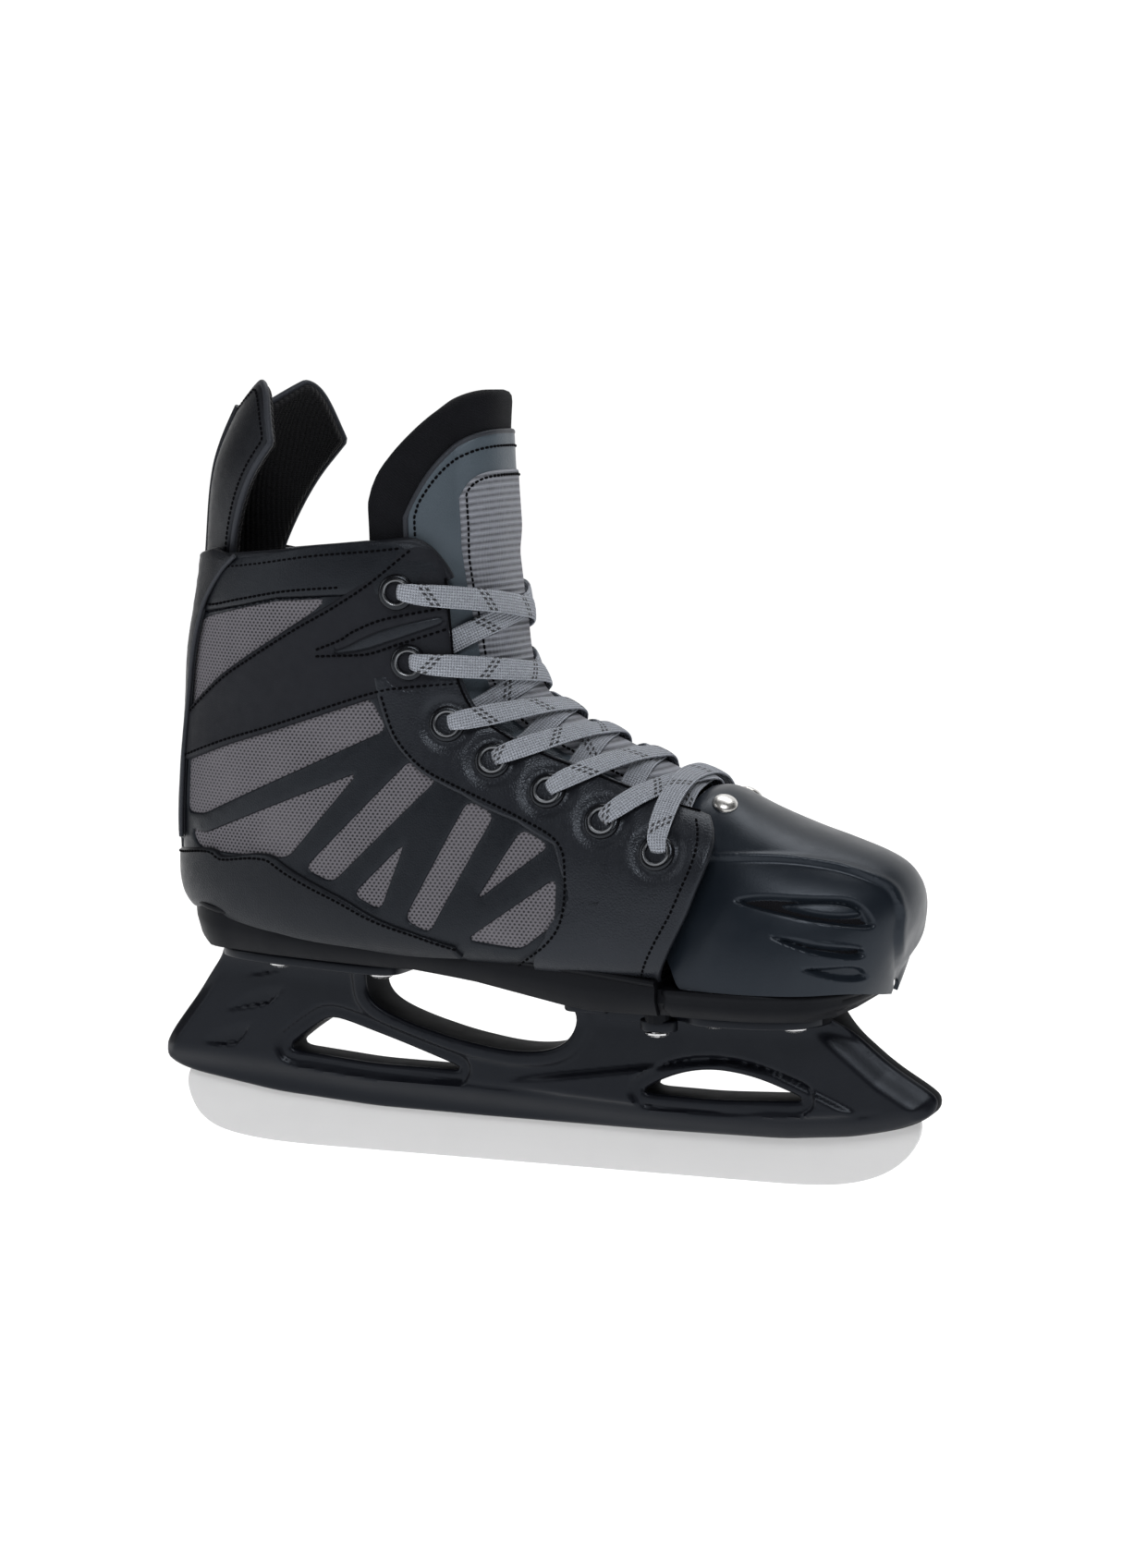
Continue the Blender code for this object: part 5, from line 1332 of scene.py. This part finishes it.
def strand(index, side):
    """From an eyelet on one side over the tongue, then under the other facing to the next eyelet down."""
    (s0, a0), (s1, a1) = EYELET_PLACES[index], EYELET_PLACES[index + 1]
    crown = 2.8 if side > 0 else 1.05
    stations = through_eyelet(index, side)
    for step in range(12):
        fraction = 0.06 + 0.9 * step / 11
        s = s0 + (s1 - s0) * fraction
        angle = a0 - (a0 + a1) * fraction
        edge = facing_angle(s, 25)
        half = LACE_HALF - (0.35 if step == 0 else 1.0 if step == 11 else 0)
        stations.append(lace_station(s, side * angle, strand_height(abs(angle) / edge, angle > 0, crown), half))
    return stations


def lace_bar():
    """The straight run between the two lowest eyelets."""
    s, angle = EYELET_PLACES[-1]
    run = [lace_station(s - 0.9 * (1 - abs(1 - 2 * f) ** 1.5), angle * (1 - 2 * f), 4.1,
                        LACE_HALF - (0.35 if f in (0.06, 0.94) else 0))
           for f in (0.06, 0.14, 0.24, 0.34, 0.45, 0.55, 0.66, 0.76, 0.86, 0.94)]
    return through_eyelet(LAST, 1) + run + through_eyelet(LAST, -1)[::-1]


def lace_tail(side):
    """From a top eyelet down into the boot, where the lace's end is tucked in."""
    s, angle = EYELET_PLACES[0]
    path = ((0.02, 0.1, -4.1), (0.03, 0.18, -4.6), (0.05, 0.22, -7), (0.08, 0.23, -10), (0.14, 0.28, -12.6),
            (0.35, 0.42, -12.8), (0.8, 0.5, -12), (1.5, 0.52, -11), (2.4, 0.52, -10.5), (3.4, 0.5, -10.5),
            (4.4, 0.48, -10.5))
    stations = [lace_station(s + ds, side * (angle + turn), height) for ds, turn, height in path]
    return stations + [lace_station(s + 4.55, side * (angle + 0.48), -10.5, 1.4)]


def lace_route():
    route = lace_tail(1)[::-1]
    for index in range(LAST):
        route += strand(index, (-1) ** index)
    route += lace_bar()
    for index in reversed(range(LAST)):
        route += strand(index, (-1) ** (index + 1))[::-1]
    route += lace_tail(-1)
    kept = route[:1]
    for station in route[1:]:
        if np.linalg.norm(station[0] - kept[-1][0]) > 1.0:
            kept.append(station)
    return kept


def make_lace():
    """The lace: a flat section swept along its route, turned where the boot's normal runs along the lace."""
    route = lace_route()
    points = np.array([p for p, _, _ in route])
    ahead = unit(np.gradient(points, axis=0))
    across = np.cross([n for _, n, _ in route], ahead)
    size = np.linalg.norm(across, axis=1)
    firm = [i for i in range(len(route)) if size[i] > 0.6]
    wides, last = [], None
    for i in range(len(route)):
        before = max((k for k in firm if k <= i), default=firm[0])
        after = min((k for k in firm if k >= i), default=firm[-1])
        one, two = across[before] / size[before], across[after] / size[after]
        wide = one + math.copysign(1, one @ two) * two
        wide = unit(wide - ahead[i] * (wide @ ahead[i]))
        if last is not None and wide @ last < 0:
            wide = -wide
        last = wide
        wides.append(wide)
    halves = np.array([h for _, _, h in route])
    table = np.column_stack([points, np.array(wides), halves])
    fine = eased(table, np.linspace(0, len(table) - 1, 5 * len(table)))
    middle, wide, half = fine[:, :3], fine[:, 3:6], fine[:, 6]
    ahead = unit(np.gradient(middle, axis=0))
    wide = unit(wide - ahead * np.sum(wide * ahead, 1)[:, None])
    up = np.cross(ahead, wide)
    turn = np.linspace(0, 2 * pi, LACE_SIDES, endpoint=False)
    flat, tall = (np.copysign(np.abs(wave) ** power, wave)
                  for wave, power in ((np.cos(turn), 0.55), (np.sin(turn), 0.7)))
    tall *= 0.68 * (1 + 0.12 * np.cos(flat * pi))
    flat = half[:, None] * flat
    uvs = np.stack([flat, np.repeat(lengths(middle)[:, None], LACE_SIDES, 1)], -1).reshape(-1, 2) * MM
    points, faces = capped(middle[:, None] + flat[..., None] * wide[:, None] + tall[:, None] * up[:, None])
    lace = add_mesh("lace_band", points, faces, LACE, "skate", uvs)
    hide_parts("lace")
    for word, side in SIDES:
        stations = lace_tail(side)
        end, before = stations[-1][0], stations[-2][0]
        profile = [(1.2, -1), (1.6, -0.6), (1.7, 0.5), (1.6, 1.2), (1.7, 2), (1.7, 17.5), (1.45, 18.6), (0.8, 19)]
        tip = turned("lace_tip_" + word, profile, end, end - before, TIP, "skate", 24)
        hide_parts("aglet_" + word)


def make_button():
    parts = [plate(sharp_loop([(31.8, -1), (40.2, -1), (40.2, 26), (31.8, 26)], 2), 55.1, 59.7, 0.5),
             plate(soft_corners([(30.9, 22), (41.1, 22), (41.1, 28), (39.4, 29.6), (32.6, 29.6), (30.9, 28)],
                                1, 1.2), 55.1, 59.7, 0.7)]
    for x in (33.2, 36, 38.8):
        parts.append(plate(sharp_loop([(x - 0.6, 28.6), (x + 0.6, 28.6), (x + 0.6, 30), (x - 0.6, 30)], 0.6),
                           55.8, 59, 0.3))
    button = add_mesh("size_key", *merged(parts), BUTTON, "size_button", sharp=38)
    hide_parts("size_button")


def paint_kept_nodes():
    """Procedural materials for the CAD bodies that stay as they are."""
    for names, mat in ((("rear_rivet", "ear_rivet", "slide_pin", "button_spring"), RIVET),
                       (("sole_bush", "toe_sole"), SOLE)):
        for name, obj in NODES.items():
            if name.startswith(names):
                obj.data.materials.clear()
                obj.data.materials.append(mat)


# ---- light and floor

def add_light(name, place, aim, size, power):
    data = bpy.data.lights.new(name, "AREA")
    data.shape = "RECTANGLE"
    data.size, data.size_y = size
    data.energy = power
    light = bpy.data.objects.new(name, data)
    light.location = place
    light.rotation_euler = (Vector(aim) - Vector(place)).to_track_quat("-Z", "Y").to_euler()
    scene.collection.objects.link(light)


def set_stage():
    mesh = bpy.data.meshes.new("floor")
    mesh.from_pydata([(-6, -6, 0), (6, -6, 0), (6, 6, 0), (-6, 6, 0)], [], [(0, 1, 2, 3)])
    floor = bpy.data.objects.new("floor", mesh)
    scene.collection.objects.link(floor)
    paint = Paint("floor_paper", (0.3, 0.3, 0.3), 0.9)
    paint.bump(paint.noise(0.002), 0.00002)
    paint.shader.inputs["Emission Color"].default_value = (1, 1, 1, 1)
    paint.shader.inputs["Emission Strength"].default_value = 0.93
    mesh.materials.append(paint.mat)
    world = bpy.data.worlds.new("studio")
    scene.world = world
    world.use_nodes = True
    tree = world.node_tree
    background = tree.nodes["Background"]
    coords = tree.nodes.new("ShaderNodeTexCoord")
    parts = tree.nodes.new("ShaderNodeSeparateXYZ")
    ramp = tree.nodes.new("ShaderNodeMapRange")
    tree.links.new(coords.outputs["Generated"], parts.inputs[0])
    tree.links.new(parts.outputs[1], ramp.inputs[0])
    for index, value in ((1, 0.35), (2, 0.75), (3, 0.05), (4, 1.05)):
        ramp.inputs[index].default_value = value
    tree.links.new(ramp.outputs[0], background.inputs[1])
    background.inputs[0].default_value = (1, 1, 1, 1)
    add_light("key", (0.6, -1.5, 1.6), (0, 0, 0.1), (0.8, 0.8), 18)
    add_light("fill", (-1.6, -1.1, 0.9), (0, 0, 0.12), (0.8, 1.2), 7)
    add_light("top", (0.1, 0.5, 1.7), (0, 0, 0.15), (1.4, 0.6), 11)
    scene.view_settings.view_transform = "Standard"


make_holder()
make_runner()
make_heel_sole()
make_toe_rand()
make_quarters()
make_vamp()
make_panels()
make_stitching()
make_facing_stitches()
make_counter()
make_spine()
make_back_tab()
make_collar_roll()
make_cap()
make_toe_lining()
make_padding()
make_footbed()
make_tongue()
make_guard()
make_eyelets()
make_lace()
make_button()
paint_kept_nodes()
set_stage()
